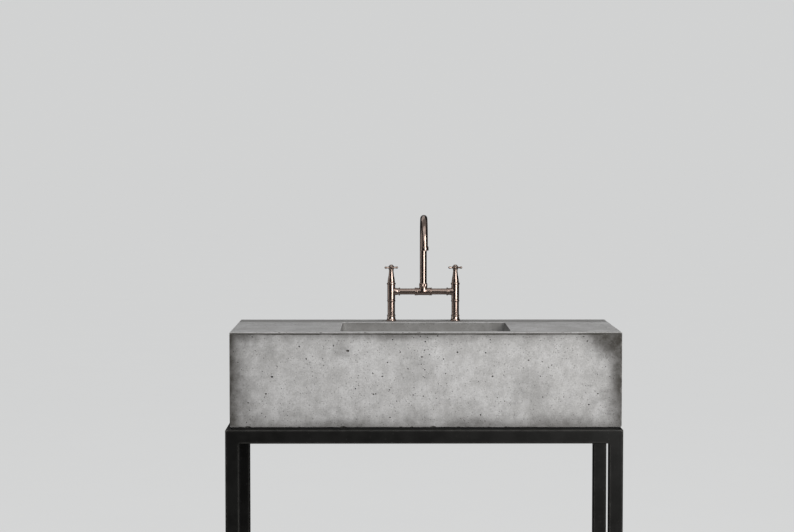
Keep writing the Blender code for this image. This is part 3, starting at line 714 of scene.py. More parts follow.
# %% [markdown]
# ## Mesh tools
#
# The tap is nearly all lathe work, so most of its pieces are a profile that is spun about an axis
# with the Screw modifier. A lathe leaves no perfectly sharp corner, and it is the tiny rounding that
# catches the light, so `eased` cuts each corner of a profile into a short curve before it is spun.
# We could bevel the finished mesh, but easing the profile costs nothing and cannot fail.

# %% Mesh tools: from bmesh to piece


def piece_of(name, shape, finish):
    """An object in the scene from a bmesh, which it uses up."""
    mesh = bpy.data.meshes.new(name)
    shape.to_mesh(mesh)
    shape.free()
    mesh.materials.append(finish)
    piece = bpy.data.objects.new(name, mesh)
    bpy.context.scene.collection.objects.link(piece)
    return piece


def settled(piece):
    """Applies the piece's modifiers and its place, so that its mesh holds its final shape in metres."""
    bpy.context.view_layer.update()
    graph = bpy.context.evaluated_depsgraph_get()
    mesh = bpy.data.meshes.new_from_object(piece.evaluated_get(graph))
    mesh.transform(piece.matrix_world)
    solid = bpy.data.objects.new("solid", mesh)
    name = piece.name
    bpy.data.objects.remove(piece)
    solid.name = name
    bpy.context.scene.collection.objects.link(solid)
    return solid


def carve(piece, operation, *tools):
    """Cuts the tools out of a piece, or joins them to it, and removes them."""
    for tool in tools:
        modifier = piece.modifiers.new("carve", "BOOLEAN")
        modifier.operation = operation
        modifier.solver = "EXACT"
        modifier.material_mode = "TRANSFER"
        modifier.object = tool
    carved = settled(piece)
    for tool in tools:
        bpy.data.objects.remove(tool)
    return carved


def hand_over(piece, body, slot, *nodes, sharp=32):
    """Gives a piece its shading, and hangs it on its body in place of these nodes."""
    piece.data.shade_smooth()
    piece.data.set_sharp_from_angle(angle=math.radians(sharp))
    weighted = piece.modifiers.new("even shading", "WEIGHTED_NORMAL")
    weighted.keep_sharp = True
    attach(piece, body)
    if nodes:
        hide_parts(*nodes)
    return piece


print("mesh tools: piece_of, settled, carve, hand_over")

# %% Mesh tools: lathe work


def eased(profile, ease, closed):
    """The profile with each corner cut into a short curve that starts this far from it."""
    points = [Vector(point) for point in profile]
    last = len(points) - 1
    smooth = []
    for index, corner in enumerate(points):
        if not closed and index in (0, last):
            smooth.append(corner)
            continue
        before = points[index - 1] - corner
        after = points[(index + 1) % len(points)] - corner
        start = corner + before.normalized() * min(ease, before.length * 0.45)
        end = corner + after.normalized() * min(ease, after.length * 0.45)
        for share in (0.0, 0.35, 0.65, 1.0):
            smooth.append(
                start * (1 - share) ** 2 + corner * 2 * share * (1 - share) + end * share ** 2
            )
    return smooth


def lathe(name, profile, finish, place=(0, 0, 0), axis="Z", ease=0.0003, sides=48):
    """Spins a profile of (radius, height) pairs, which runs down the piece's outer side."""
    closed = profile[0][0] > 0
    points = eased(profile, ease, closed)
    mesh = bpy.data.meshes.new(name)
    lines = [(index, index + 1) for index in range(len(points) - 1)]
    if closed:
        lines.append((len(points) - 1, 0))
    mesh.from_pydata([(point.x, 0.0, point.y) for point in points], lines, [])
    mesh.materials.append(finish)
    piece = bpy.data.objects.new(name, mesh)
    bpy.context.scene.collection.objects.link(piece)
    screw = piece.modifiers.new("lathe", "SCREW")
    screw.steps = sides
    screw.render_steps = sides
    screw.use_merge_vertices = True
    screw.merge_threshold = 0.00001
    lay = Matrix.Rotation(math.pi / 2, 4, "Y") if axis == "X" else Matrix.Identity(4)
    piece.matrix_world = Matrix.Translation(place) @ lay
    return settled(piece)


def arc(centre, radius, start, end, steps):
    """Points on an arc of a profile, from one angle to another in degrees."""
    angles = [math.radians(start + (end - start) * step / steps) for step in range(steps + 1)]
    return [(centre[0] + radius * math.cos(a), centre[1] + radius * math.sin(a)) for a in angles]


def rod(radius, top, bottom):
    """The profile of a plain round bar."""
    return [(0, top), (radius, top), (radius, bottom), (0, bottom)]


def thread(radius, top, bottom, pitch=0.0015, depth=0.0006):
    """The zigzag outline of a screw thread, from its top to its bottom."""
    turns = int((top - bottom) / pitch)
    points = []
    for turn in range(turns):
        points.append((radius - depth, top - pitch * turn))
        points.append((radius, top - pitch * (turn + 0.5)))
    return points + [(radius - depth, top - pitch * turns)]


print("lathe tools: eased, lathe, arc, rod, thread")

# %% Mesh tools: blocks and bars


def block(name, low, high, finish, round_off=0.0, segments=3):
    """A box between two corners, with rounded edges."""
    low, high = Vector(low), Vector(high)
    shape = bmesh.new()
    place = Matrix.Translation((low + high) / 2) @ Matrix.Diagonal((*(high - low), 1))
    bmesh.ops.create_cube(shape, size=1.0, matrix=place)
    if round_off:
        bmesh.ops.bevel(
            shape, geom=shape.edges, offset=round_off, segments=segments, profile=0.5, affect="EDGES"
        )
    return piece_of(name, shape, finish)


def join_rings(shape, rings):
    """Joins rings of vertices into a bar, with a flat face at each end."""
    for behind, ahead in zip(rings, rings[1:]):
        for turn in range(len(behind)):
            after = (turn + 1) % len(behind)
            shape.faces.new((behind[turn], behind[after], ahead[after], ahead[turn]))
    shape.faces.new(rings[0])
    shape.faces.new(rings[-1])


print("block tools: block, join_rings")

# %% [markdown]
# ## The trough: one casting
#
# The trough was cast in one go and the right way up, over a former for the hollow underneath and
# round a former for the bowl that hung in from above. Then its top was trowelled. The model starts
# as a block of fine squares and takes its rounded arrises, and then the formers are cut away.
#
# A plain bevel would make every arris perfect, and real concrete arrises wander. So the block is cut
# into squares, with narrow rows beside each edge. Then every point near an edge is pulled onto a
# quarter circle whose radius changes slowly along the way. The same rows carry the fine groove
# under the rim, where the trowelled top meets the moulded side.

# %% Trough: the block of squares
ARRIS_LOW, ARRIS_HIGH = 0.0016, 0.0038
ARRIS_ROWS = (0.0010, 0.0021, 0.0038)
GROOVE_ROWS = (0.0041, 0.0047, 0.0055, 0.0061)
SQUARE = 0.014


def rows_between(low, high, extra=()):
    """Where to cut one side of the block: evenly, and closer beside both ends."""
    steps = round((high - low) / SQUARE)
    middle = [low + (high - low) * step / steps for step in range(1, steps)]
    near = [low + row for row in ARRIS_ROWS] + [high - row for row in ARRIS_ROWS]
    return sorted(middle + near + [high - row for row in extra])


shape = bmesh.new()
size = Matrix.Translation(trough_middle) @ Matrix.Diagonal((*(trough_half * 2), 1))
bmesh.ops.create_cube(shape, size=1.0, matrix=size)
for axis in range(3):
    normal = Vector([float(axis == other) for other in range(3)])
    extra = GROOVE_ROWS if axis == 2 else ()
    for row in rows_between(trough_low[axis], trough_high[axis], extra):
        everything = [*shape.verts, *shape.edges, *shape.faces]
        bmesh.ops.bisect_plane(shape, geom=everything, plane_co=normal * row, plane_no=normal)
print("block of", len(shape.faces), "squares")

# %% Trough: arrises, groove and the slightly uneven skin
SKIN_WAVE = 0.00025  # the mould's boards were not quite flat
GROOVE = 0.0009


def on_casting(point):
    """Where a point of the sharp block lies on the real casting, which is never outside the block."""
    wander = 0.5 + 0.5 * noise.noise(point * 22.0)
    radius = ARRIS_LOW + (ARRIS_HIGH - ARRIS_LOW) * wander
    core = Vector([
        min(max(point[axis], trough_low[axis] + radius), trough_high[axis] - radius) for axis in range(3)
    ])
    outward = (point - core).normalized()
    moved = core + outward * radius
    wave = SKIN_WAVE * (0.5 + 0.5 * noise.noise(point * 7.0))
    in_groove = abs(trough_high.z - point.z - LINE_DEPTH) < 0.0005 and abs(outward.z) < 0.3
    return moved - outward * (wave + (GROOVE if in_groove else 0.0))


for vert in shape.verts:
    vert.co = on_casting(vert.co.copy())
trough = piece_of("trough", shape, cast_skin)
print("arrises from", ARRIS_LOW, "to", ARRIS_HIGH, "m")

# %% Trough: the bowl's former
BOWL_WIDTH, BOWL_LENGTH = 0.490, 0.320
BOWL_CORNER = 0.014
BOWL_DRAFT = math.tan(math.radians(2.5))
BOWL_FRONT = trough_low.y + 0.040
BOWL_MIDDLE = Vector((trough_middle.x, BOWL_FRONT + BOWL_LENGTH / 2))
BOWL_DEPTH = 0.140
BOWL_FLOOR = RIM - BOWL_DEPTH
BOWL_FALL = 0.008
LIP = 0.0024  # rounding of the bowl's upper edge
SHELL_FOOT = BOWL_FLOOR - BOWL_FALL - 0.030  # the underside of the bowl's shell


def bowl_outline(spread, corner):
    """Points round a rectangle with round corners, larger than the bowl's rim by spread on each side."""
    half_x, half_y = BOWL_WIDTH / 2 + spread, BOWL_LENGTH / 2 + spread
    centres = [(half_x - corner, half_y - corner), (corner - half_x, half_y - corner),
               (corner - half_x, corner - half_y), (half_x - corner, corner - half_y)]
    along = [round(BOWL_WIDTH / SQUARE), round(BOWL_LENGTH / SQUARE)]
    points = []
    for quarter, (x, y) in enumerate(centres):
        for step in range(7):
            turn = math.radians(90 * quarter + 15 * step)
            points.append(Vector((x + corner * math.cos(turn), y + corner * math.sin(turn))))
        ahead = Vector(centres[(quarter + 1) % 4])
        turn = math.radians(90 * (quarter + 1))
        target = ahead + corner * Vector((math.cos(turn), math.sin(turn)))
        start = points[-1].copy()
        squares = along[quarter % 2]
        points += [start.lerp(target, step / squares) for step in range(1, squares)]
    return [point + BOWL_MIDDLE for point in points]


# Each level is how far its ring spreads beyond the rim's outline, and its height above the rim: the
# rounded lip, the sloping wall, and the curve from the wall to the floor.
levels = [(LIP, 0.020)]
for turn in (72, 54, 36, 18, 0):
    angle = math.radians(turn)
    levels.append((LIP * (1 - math.cos(angle)), -LIP + LIP * math.sin(angle)))
for step in range(1, 9):
    depth = LIP + (BOWL_DEPTH - BOWL_CORNER - LIP) * step / 8
    levels.append((-BOWL_DRAFT * depth, -depth))
foot_spread = -BOWL_DRAFT * BOWL_DEPTH
for turn in (18, 36, 54, 72, 90):
    angle = math.radians(turn)
    out, up = 1 - math.cos(angle), 1 - math.sin(angle)
    levels.append((foot_spread - BOWL_CORNER * out, -BOWL_DEPTH + BOWL_CORNER * up))
rings = [
    [Vector((*point, RIM + height)) for point in bowl_outline(spread, BOWL_CORNER)]
    for spread, height in levels
]
waste_point = Vector((WASTE.x, WASTE.y, BOWL_FLOOR - BOWL_FALL))
for share in (0.12, 0.25, 0.40, 0.55, 0.70, 0.84):
    rings.append([point.lerp(waste_point, share) for point in rings[len(levels) - 1]])


def lofted(name, rings, centre):
    """A closed skin over rings of points, flat at the top and drawn together to a centre below."""
    loft = bmesh.new()
    loops = [[loft.verts.new(point) for point in ring] for ring in rings]
    loft.faces.new(loops[0])
    for above, below in zip(loops, loops[1:]):
        for index in range(len(above)):
            after = (index + 1) % len(above)
            loft.faces.new((above[index], below[index], below[after], above[after]))
    tip = loft.verts.new(centre)
    for index in range(len(loops[-1])):
        loft.faces.new((loops[-1][index], tip, loops[-1][(index + 1) % len(loops[-1])]))
    bmesh.ops.recalc_face_normals(loft, faces=loft.faces)
    return piece_of(name, loft, cast_skin)


bowl_former = lofted("bowl_former", rings, waste_point)
print("bowl former of", len(bowl_former.data.polygons), "faces")

# %% Trough: the hollow underneath, the waste seat and the tap holes
WALL = 0.035
SHELL = 0.028
hollow = block(
    "hollow",
    (trough_low.x + WALL, trough_low.y + WALL, trough_low.z - 0.020),
    (trough_high.x - WALL, trough_high.y - WALL, RIM - WALL),
    cast_skin,
    0.010,
)
bowl_outside = block(
    "bowl_outside",
    (BOWL_MIDDLE.x - BOWL_WIDTH / 2 - SHELL, trough_low.y - 0.010, SHELL_FOOT),
    (BOWL_MIDDLE.x + BOWL_WIDTH / 2 + SHELL, BOWL_FRONT + BOWL_LENGTH + SHELL, RIM + 0.010),
    cast_skin,
    0.006,
)
hollow = carve(hollow, "DIFFERENCE", bowl_outside)
SEAT = BOWL_FLOOR - BOWL_FALL - 0.003
waste_hole = lathe("waste_hole", [
    (0, BOWL_FLOOR + 0.02), (0.0345, BOWL_FLOOR + 0.02), (0.0345, SEAT), (0.0225, SEAT),
    (0.0225, SEAT - 0.06), (0, SEAT - 0.06),
], cast_skin, (WASTE.x, WASTE.y, 0))
tap_holes = []
for side in ("left", "right"):
    middle = middle_of("tap_flange_" + side)
    hole = rod(0.012, RIM + 0.02, RIM - 0.06)
    tap_holes.append(lathe("tap_hole", hole, cast_skin, (middle.x, middle.y, 0)))
trough = carve(trough, "DIFFERENCE", hollow, bowl_former, waste_hole, *tap_holes)
print("trough of", len(trough.data.polygons), "faces")

# %% [markdown]
# ## Blowholes and chips
#
# Air that stuck to the mould leaves blowholes, and knocks leave chips along the arrises. A bump map
# can darken a hole but can't show its rim from the side. So the larger ones are real: hundreds of
# dented balls, each sunk a little below the surface, are cut out of the casting in one go. They wear
# the broken concrete, which the Boolean hands on to the faces that they cut. The order of the random
# numbers is fixed, so every run gives the same casting.

# %% Blowholes: the cutting balls
dice = random.Random(11)
cutting_balls = bmesh.new()
taken = []
BALL_REACH = 1.25  # how many radii a dented ball may reach from its middle
RARITY = 2.4  # the higher it is, the rarer are the large ones


def sink_ball(centre, outward, radius, stretch=(1, 1, 1), depth=0.35):
    """Adds a dented ball below the surface, unless it would touch one that is there already."""
    middle = Vector(centre) - Vector(outward).normalized() * radius * depth
    reach = radius * max(stretch) * BALL_REACH
    if any((middle - other).length < reach + far for other, far in taken):
        return False
    taken.append((middle, reach))
    made = bmesh.ops.create_icosphere(cutting_balls, subdivisions=2 if radius > 0.0013 else 1, radius=1.0)
    tumble = Vector((dice.uniform(-50, 50), dice.uniform(-50, 50), dice.uniform(-50, 50)))
    for vert in made["verts"]:
        dent = 1.0 + 0.22 * noise.noise(vert.co * 1.3 + tumble)
        vert.co = middle + Vector([vert.co[axis] * stretch[axis] for axis in range(3)]) * radius * dent
    return True


print("dented balls reach at most", BALL_REACH, "radii from their middle")

# %% Blowholes: where they sit
LARGE_BLOWHOLES = (  # from the left arris, below the rim, radius, all in metres
    (0.121, 0.127, 0.0034), (0.337, 0.053, 0.0042), (0.104, 0.176, 0.0025), (0.436, 0.126, 0.0024),
    (0.417, 0.176, 0.0022), (0.650, 0.057, 0.0028), (0.750, 0.126, 0.0030), (0.547, 0.091, 0.0020),
    (0.616, 0.118, 0.0019), (0.524, 0.179, 0.0021), (1.051, 0.176, 0.0024),
)
for along, below, radius in LARGE_BLOWHOLES:
    sink_ball((trough_low.x + along, trough_low.y, RIM - below), (0, -1, 0), radius, (1.15, 1, 0.9))


def small_radius():
    """Small blowholes are far more common than large ones."""
    return 0.0006 + 0.0020 * dice.random() ** RARITY


OUTSIDE = (  # face, how many blowholes, and the axes that run along the face
    ((0, -1, 0), 230, (0, 2)), ((0, 1, 0), 150, (0, 2)), ((-1, 0, 0), 90, (1, 2)), ((1, 0, 0), 90, (1, 2)),
)
for outward, count, along in OUTSIDE:
    across = 3 - sum(along)
    for _ in range(count):
        centre = Vector((0, 0, 0))
        centre[across] = trough_low[across] if min(outward) < 0 else trough_high[across]
        for axis in along:
            centre[axis] = dice.uniform(trough_low[axis] + 0.010, trough_high[axis] - 0.010)
        sink_ball(centre, outward, small_radius())
for _ in range(70):
    centre = Vector((
        dice.uniform(trough_low.x + 0.012, trough_high.x - 0.012),
        dice.uniform(trough_low.y + 0.010, trough_high.y - 0.010),
        RIM,
    ))
    beside = centre.xy - BOWL_MIDDLE
    if abs(beside.x) > BOWL_WIDTH / 2 + 0.010 or abs(beside.y) > BOWL_LENGTH / 2 + 0.010:
        sink_ball(centre, (0, 0, 1), small_radius())
print(len(taken), "blowholes outside")

# %% Chips along the arrises


SMALLEST_CHIP = 0.0016


def chips_along(start, end, outward, count, largest):
    """Irregular flakes along an arris, long in its direction."""
    start, end = Vector(start), Vector(end)
    along = (end - start).normalized()
    for _ in range(count):
        radius = SMALLEST_CHIP + (largest - SMALLEST_CHIP) * dice.random() ** RARITY
        stretch = [1.0 + 1.1 * abs(along[axis]) * dice.random() for axis in range(3)]
        centre = start.lerp(end, dice.random())
        sink_ball(centre, outward, radius, stretch, dice.uniform(-0.35, 0.15))


left, right = trough_low.x, trough_high.x
front, back = trough_low.y, trough_high.y
foot = trough_low.z
chips_along((left, front, RIM), (right, front, RIM), (0, -1, 1), 16, 0.0042)
chips_along((left, front, foot), (right, front, foot), (0, -1, -1), 22, 0.0060)
chips_along((right, front, foot), (right, front, RIM), (1, -1, 0), 26, 0.0085)
chips_along((left, front, foot), (left, front, RIM), (-1, -1, 0), 10, 0.0046)
chips_along((right, front, RIM), (right, back, RIM), (1, 0, 1), 9, 0.0050)
chips_along((left, front, RIM), (left, back, RIM), (-1, 0, 1), 7, 0.0040)
chips_along((left, back, RIM), (right, back, RIM), (0, 1, 1), 12, 0.0050)
chips_along((left, back, foot), (right, back, foot), (0, 1, -1), 12, 0.0060)
chips_along((left, back, foot), (left, back, RIM), (-1, 1, 0), 6, 0.0055)
chips_along((right, back, foot), (right, back, RIM), (1, 1, 0), 6, 0.0055)
chips_along((right, front, foot), (right, back, foot), (1, 0, -1), 8, 0.0055)
chips_along((left, front, foot), (left, back, foot), (-1, 0, -1), 8, 0.0055)
print(len(taken), "blowholes and chips in all")

# %% Cut the blowholes and chips
trough = carve(trough, "DIFFERENCE", piece_of("cutting_balls", cutting_balls, broken_core))
print("trough of", len(trough.data.polygons), "faces, finishes", [m.name for m in trough.data.materials])

# %% [markdown]
# ## Unfolding the trough like a carton
#
# A texture bake needs the skin laid flat. Blender's automatic unwrap would give each blowhole an
# island of its own and waste the sheet on the gaps between them. A carton is a better plan: each
# face goes with the board that it lies on, such as the front or the bowl's left wall, and blowholes
# stay with their board. The boards are then set out in rows on the sheet.

# %% Unfolding the trough
bowl_low = Vector((BOWL_MIDDLE.x - BOWL_WIDTH / 2, BOWL_FRONT, BOWL_FLOOR))
bowl_high = Vector((BOWL_MIDDLE.x + BOWL_WIDTH / 2, BOWL_FRONT + BOWL_LENGTH, RIM))
shell_low = Vector((bowl_low.x - SHELL, trough_low.y, SHELL_FOOT))
shell_high = Vector((bowl_high.x + SHELL, bowl_high.y + SHELL, RIM))


def nearest_side(point, low, high, sides):
    """Which side of a box a point is nearest to, as (axis, is it the high side)."""
    gaps = {(axis, 1): abs(high[axis] - point[axis]) for axis in range(3)}
    gaps.update({(axis, 0): abs(point[axis] - low[axis]) for axis in range(3)})
    return min((side for side in gaps if side in sides), key=lambda side: gaps[side])


ALL_SIDES = {(axis, side) for axis in range(3) for side in (0, 1)}


def board_of(middle, normal):
    """The name of the board that a face lies on, and the axis that it is seen along."""
    inner = 0.022
    on_outside = any(
        min(middle[axis] - trough_low[axis], trough_high[axis] - middle[axis]) < 0.010 for axis in range(3)
    )
    over_bowl = all(bowl_low[axis] - 0.004 < middle[axis] < bowl_high[axis] + 0.004 for axis in range(2))
    if over_bowl and middle.z > BOWL_FLOOR - inner:
        side = nearest_side(middle, bowl_low, bowl_high, ALL_SIDES - {(2, 1)})
        return ("bowl", *side), side[0]
    if on_outside:
        side = nearest_side(middle, trough_low, trough_high, ALL_SIDES)
        return ("outside", *side), side[0]
    axis = max(range(3), key=lambda each: abs(normal[each]))
    in_shell = all(shell_low[each] - 0.003 < middle[each] < shell_high[each] + 0.003 for each in range(3))
    return ("shell" if in_shell else "hollow", axis, normal[axis] > 0), axis


boards = {}
for face in trough.data.polygons:
    board, axis = board_of(face.center, face.normal)
    boards.setdefault(board, []).append(face)
print(len(boards), "boards:", {"/".join(map(str, board)): len(faces) for board, faces in boards.items()})

# %% Setting out the boards on the sheet
HIDDEN_BOARDS = {"hollow", "shell"}
BOARD_MARGIN = 0.012
BORDER = 0.004  # left free round the whole sheet


def flat_place(point, axis, scale):
    """Where a point lands on the sheet when it is seen along an axis."""
    first, second = [other for other in range(3) if other != axis]
    return Vector((point[first], point[second])) * scale


laid_out = []
for (group, *_), faces in boards.items():
    axis = board_of(faces[0].center, faces[0].normal)[1]
    scale = 0.5 if group in HIDDEN_BOARDS else 1.0
    spots = [flat_place(trough.data.vertices[v].co, axis, scale) for face in faces for v in face.vertices]
    low = Vector((min(spot.x for spot in spots), min(spot.y for spot in spots)))
    high = Vector((max(spot.x for spot in spots), max(spot.y for spot in spots)))
    turned_up = high.y - low.y > high.x - low.x
    size = (high - low).yx if turned_up else high - low
    laid_out.append((size, low, turned_up, axis, scale, faces))
laid_out.sort(key=lambda board: -board[0].y)


def rows_of_boards(width):
    """Puts the boards in rows no longer than width. Returns their corners and the height used."""
    x, y, row, corners = 0.0, 0.0, 0.0, []
    for size, *_ in laid_out:
        if x + size.x > width:
            x, y, row = 0.0, y + row + BOARD_MARGIN, 0.0
        corners.append(Vector((x, y)))
        x += size.x + BOARD_MARGIN
        row = max(row, size.y)
    return corners, y + row


widths = [1.15 + 0.01 * step for step in range(120)]
sheet_side, row_width = min((max(width, rows_of_boards(width)[1]), width) for width in widths)
corners = rows_of_boards(row_width)[0]
carton = trough.data.uv_layers.new(name="OFBake")
for corner, (size, low, turned_up, axis, scale, faces) in zip(corners, laid_out):
    for face in faces:
        for loop in face.loop_indices:
            vert = trough.data.vertices[trough.data.loops[loop].vertex_index]
            spot = flat_place(vert.co, axis, scale) - low
            spot = spot.yx if turned_up else spot
            carton.data[loop].uv = (spot + corner + Vector((BORDER, BORDER))) / (sheet_side + 2 * BORDER)
hand_over(trough, "washstand", "concrete", "basin")
print("the sheet is", round(sheet_side, 2), "m wide for", len(laid_out), "boards")

# %% [markdown]
# ## The drain in the bowl
#
# A flanged brass tube goes down through the concrete and is held by a nut from below. A grid drops
# into its mouth. Tube and grid are lathe work, and only the grid's slots and its screw's slot are
# cut. The tube has a real thread profile, rings rather than a helix, because at this pitch nobody
# can tell them apart and rings can be spun in one step. The nut comes in the section after.

# %% Drain: tube, grid and screw
drain_middle = (WASTE.x, WASTE.y, 0)
waste_low, waste_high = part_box("waste_body")
drain_top = waste_high.z
drain_foot = waste_low.z
drain_radius = waste_high.x - WASTE.x
drain = lathe("drain_tube", [
    (0.0265, drain_top), (drain_radius - 0.0024, drain_top), (drain_radius - 0.0007, drain_top - 0.0007),
    (drain_radius, drain_top - 0.0019), (drain_radius, drain_top - 0.0030), (0.0210, drain_top - 0.0030),
    (0.0210, 0.7080), *thread(0.0210, 0.7065, drain_foot + 0.002),
    (0.0202, drain_foot), (0.0180, drain_foot),
    (0.0180, drain_top - 0.0075), (0.0262, drain_top - 0.0028), (0.0265, drain_top - 0.0020),
], tarnished_copper, drain_middle, ease=0.0002, sides=64)
hand_over(drain, "washstand", "aged_copper", "waste_body")

grid_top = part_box("waste_grid")[1].z
grid_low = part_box("waste_grid")[0].z
grid = lathe("drain_grid", [
    (0, grid_top - 0.0002), (0.0058, grid_top - 0.0002), (0.0066, grid_top), (0.0185, grid_top - 0.0002),
    (0.0195, grid_top - 0.0007), (0.0235, grid_top - 0.0007), (0.0255, grid_top - 0.0010),
    (0.0262, grid_top - 0.0016), (0.0262, grid_low), (0, grid_low),
], tarnished_copper, drain_middle, ease=0.0003, sides=64)
slots = []
for step in range(8):
    slot = block("slot", (0.0075, -0.0022, grid_low - 0.004), (0.0165, 0.0022, grid_top + 0.004),
                 tarnished_copper, 0.0019, 5)
    slot.matrix_world = Matrix.Translation(drain_middle) @ Matrix.Rotation(step * math.tau / 8, 4, "Z")
    slots.append(slot)
grid = carve(grid, "DIFFERENCE", *slots)
hand_over(grid, "washstand", "aged_copper", "waste_grid", sharp=40)

screw = lathe("drain_screw", [
    (0, grid_top + 0.0008), (0.0012, grid_top + 0.0007), (0.0026, grid_top + 0.0003),
    (0.0034, grid_top - 0.0002), (0.0034, grid_top - 0.0012), (0, grid_top - 0.0012),
], tarnished_copper, drain_middle, ease=0.0002, sides=32)
driver = block("driver", (-0.006, -0.0004, grid_top + 0.0001), (0.006, 0.0004, grid_top + 0.004),
               tarnished_copper)
driver.matrix_world = Matrix.Translation(drain_middle) @ Matrix.Rotation(math.radians(35), 4, "Z")
hand_over(carve(screw, "DIFFERENCE", driver), "washstand", "aged_copper")
print("drain from", round(drain_top, 4), "down to", round(drain_foot, 4))

# %% [markdown]
# ## Hexagon nuts
#
# A real nut starts as a hexagon bar, and a lathe then cuts its ends to a cone, which leaves the
# curved lines at its corners. So the model takes a six-sided spin, keeps only what lies inside a
# turned shape with coned ends, and cuts the bore. A plain hexagon with bevelled edges would miss
# those curved lines.

# %% Hexagon nuts


def hexagon_nut(name, flats, bore, top, low, place):
    """A nut with flats this far from its axis, coned at both ends."""
    corner = flats / math.cos(math.pi / 6)
    slope = (corner - flats) * 0.62
    coned = [
        (0, top + 0.0001), (flats * 0.97, top + 0.0001), (corner + 0.0002, top - slope),
        (corner + 0.0002, low + slope), (flats * 0.97, low - 0.0001), (0, low - 0.0001),
    ]
    hole = [
        (0, top + 0.005), (bore + 0.001, top + 0.005), (bore + 0.001, top - 0.0006), (bore, top - 0.0016),
        (bore, low + 0.0016), (bore + 0.001, low + 0.0006), (bore + 0.001, low - 0.005), (0, low - 0.005),
    ]
    nut = lathe(name, rod(corner, top, low), tarnished_copper, place, ease=0.0, sides=6)
    nut = carve(nut, "INTERSECT", lathe("coned", coned, tarnished_copper, place, ease=0.0004, sides=96))
    return carve(nut, "DIFFERENCE", lathe("hole", hole, tarnished_copper, place, ease=0.0001, sides=48))


nut_low, nut_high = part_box("waste_nut")
drain_nut = hexagon_nut("drain_nut", 0.029, 0.0214, nut_high.z, nut_low.z, drain_middle)
hand_over(drain_nut, "washstand", "aged_copper", "waste_nut", sharp=25)
print("drain nut is", round((nut_high.z - nut_low.z) * 1000, 1), "mm high")

# %% [markdown]
# ## The tap's pillars
#
# The tap stands on two pillars, 195 mm apart. Each is a turned body with a bead at mid height and a
# short branch at bridge height. Its threaded tail goes down through the deck to a nut. A turned base
# ring covers the hole, and a bell-shaped bonnet closes the top over the valve. Both pillars are the
# same piece, turned so that their branches face each other.

# %% Pillars
tee_low, tee_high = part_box("tap_tee")
TAP = Vector((*middle_of("tap_tee").xy, RIM))
BRIDGE = Vector((TAP.x, TAP.y, middle_of("tap_bridge_left").z))
PILLAR_X = TAP.x - middle_of("tap_flange_left").x
TOWARDS_BRIDGE = {"left": 1, "right": -1}
SEAM = 0.0003  # the gap that touching pieces keep
PILLAR_PROFILE = [
    (0, 0.1110), (0.0119, 0.1110), (0.0119, 0.0660), (0.0116, 0.0650), (0.0116, 0.0641), (0.0124, 0.0636),
    (0.0126, 0.0617), (0.0124, 0.0598), (0.0116, 0.0593), (0.0113, 0.0584), (0.0113, 0.0003),
    (0.0094, 0.0003), (0.0094, -0.0020), *thread(0.0100, -0.0022, -0.0730), (0.0092, -0.0750), (0, -0.0750),
]
BRANCH_PROFILE = [
    (0, 0.0220), (0.0097, 0.0220), (0.0103, 0.0214), (0.0104, 0.0200), (0.0101, 0.0192), (0.0104, 0.0184),
    (0.0107, 0.0165), (0.0111, 0.0125), (0.0113, 0.0060), (0.0113, 0), (0, 0),
]


def on_deck(side):
    """Where a pillar meets the deck."""
    return Vector((TAP.x - TOWARDS_BRIDGE[side] * PILLAR_X, TAP.y, RIM))


for side, towards in TOWARDS_BRIDGE.items():
    deck_point = on_deck(side)
    pillar = lathe("pillar_" + side, PILLAR_PROFILE, tarnished_copper, deck_point, ease=0.0005)
    branch = lathe("branch", [(r, towards * h) for r, h in BRANCH_PROFILE], tarnished_copper,
                   deck_point + Vector((0, 0, BRIDGE.z - RIM)), axis="X", ease=0.0004)
    if towards < 0:
        branch.data.flip_normals()
    pillar = carve(pillar, "UNION", branch)
    hand_over(pillar, "washstand", "aged_copper", "tap_pillar_" + side)
print("pillars", round(2 * PILLAR_X * 1000, 1), "mm apart")

# %% Base rings, bonnets and deck nuts
BASE_PROFILE = [
    (0.0120, 0.0190), (0.0130, 0.0185), (0.0132, 0.0174), (0.0130, 0.0163), (0.0121, 0.0157),
    (0.0121, 0.0122), (0.0124, 0.0100), (0.0132, 0.0060), (0.0144, 0.0041), (0.0149, 0.0034),
    (0.0150, 0.0020), (0.0148, 0.0003), (0.0117, 0.0003), (0.0117, 0.0190),
]
BONNET_PROFILE = [
    (0, 0.1630), (0.0028, 0.1630), (0.0034, 0.1624), (0.0034, 0.1550), (0.0060, 0.1550), (0.0070, 0.1543),
    (0.0070, 0.1520), (0.0066, 0.1512), (0.0070, 0.1504), (0.0072, 0.1480), (0.0084, 0.1380),
    (0.0101, 0.1290), (0.0110, 0.1215), (0.0112, 0.1195), (0.0108, 0.1182), (0.0112, 0.1168),
    (0.0130, 0.1165), (0.0134, 0.1155), (0.0134, 0.1122), (0.0130, 0.1113), (0, 0.1113),
]
for side in ("left", "right"):
    deck_point = on_deck(side)
    base_ring = lathe("base_ring_" + side, BASE_PROFILE, tarnished_copper, deck_point, ease=0.0006)
    hand_over(base_ring, "washstand", "aged_copper", "tap_flange_" + side)
    bell = lathe("bell_" + side, BONNET_PROFILE, tarnished_copper, deck_point, ease=0.0006)
    hand_over(bell, "washstand", "aged_copper", "tap_bonnet_" + side)
    low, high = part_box("tap_backnut_" + side)
    under = (deck_point.x, deck_point.y, 0)
    deck_nut = hexagon_nut("deck_nut_" + side, 0.0165, 0.0104, high.z, low.z, under)
    hand_over(deck_nut, "washstand", "aged_copper", "tap_backnut_" + side, sharp=25)

# %% [markdown]
# ## The bridge
#
# Two tubes run from the pillars to a tee in the middle, with a screwed collar at each end. The tee
# carries a socket in which the swan neck turns, and a fluted nut holds it down. The flutes are cut
# into the spun nut by moving its points in and out with the angle, which is quicker and cleaner than
# forty Booleans.

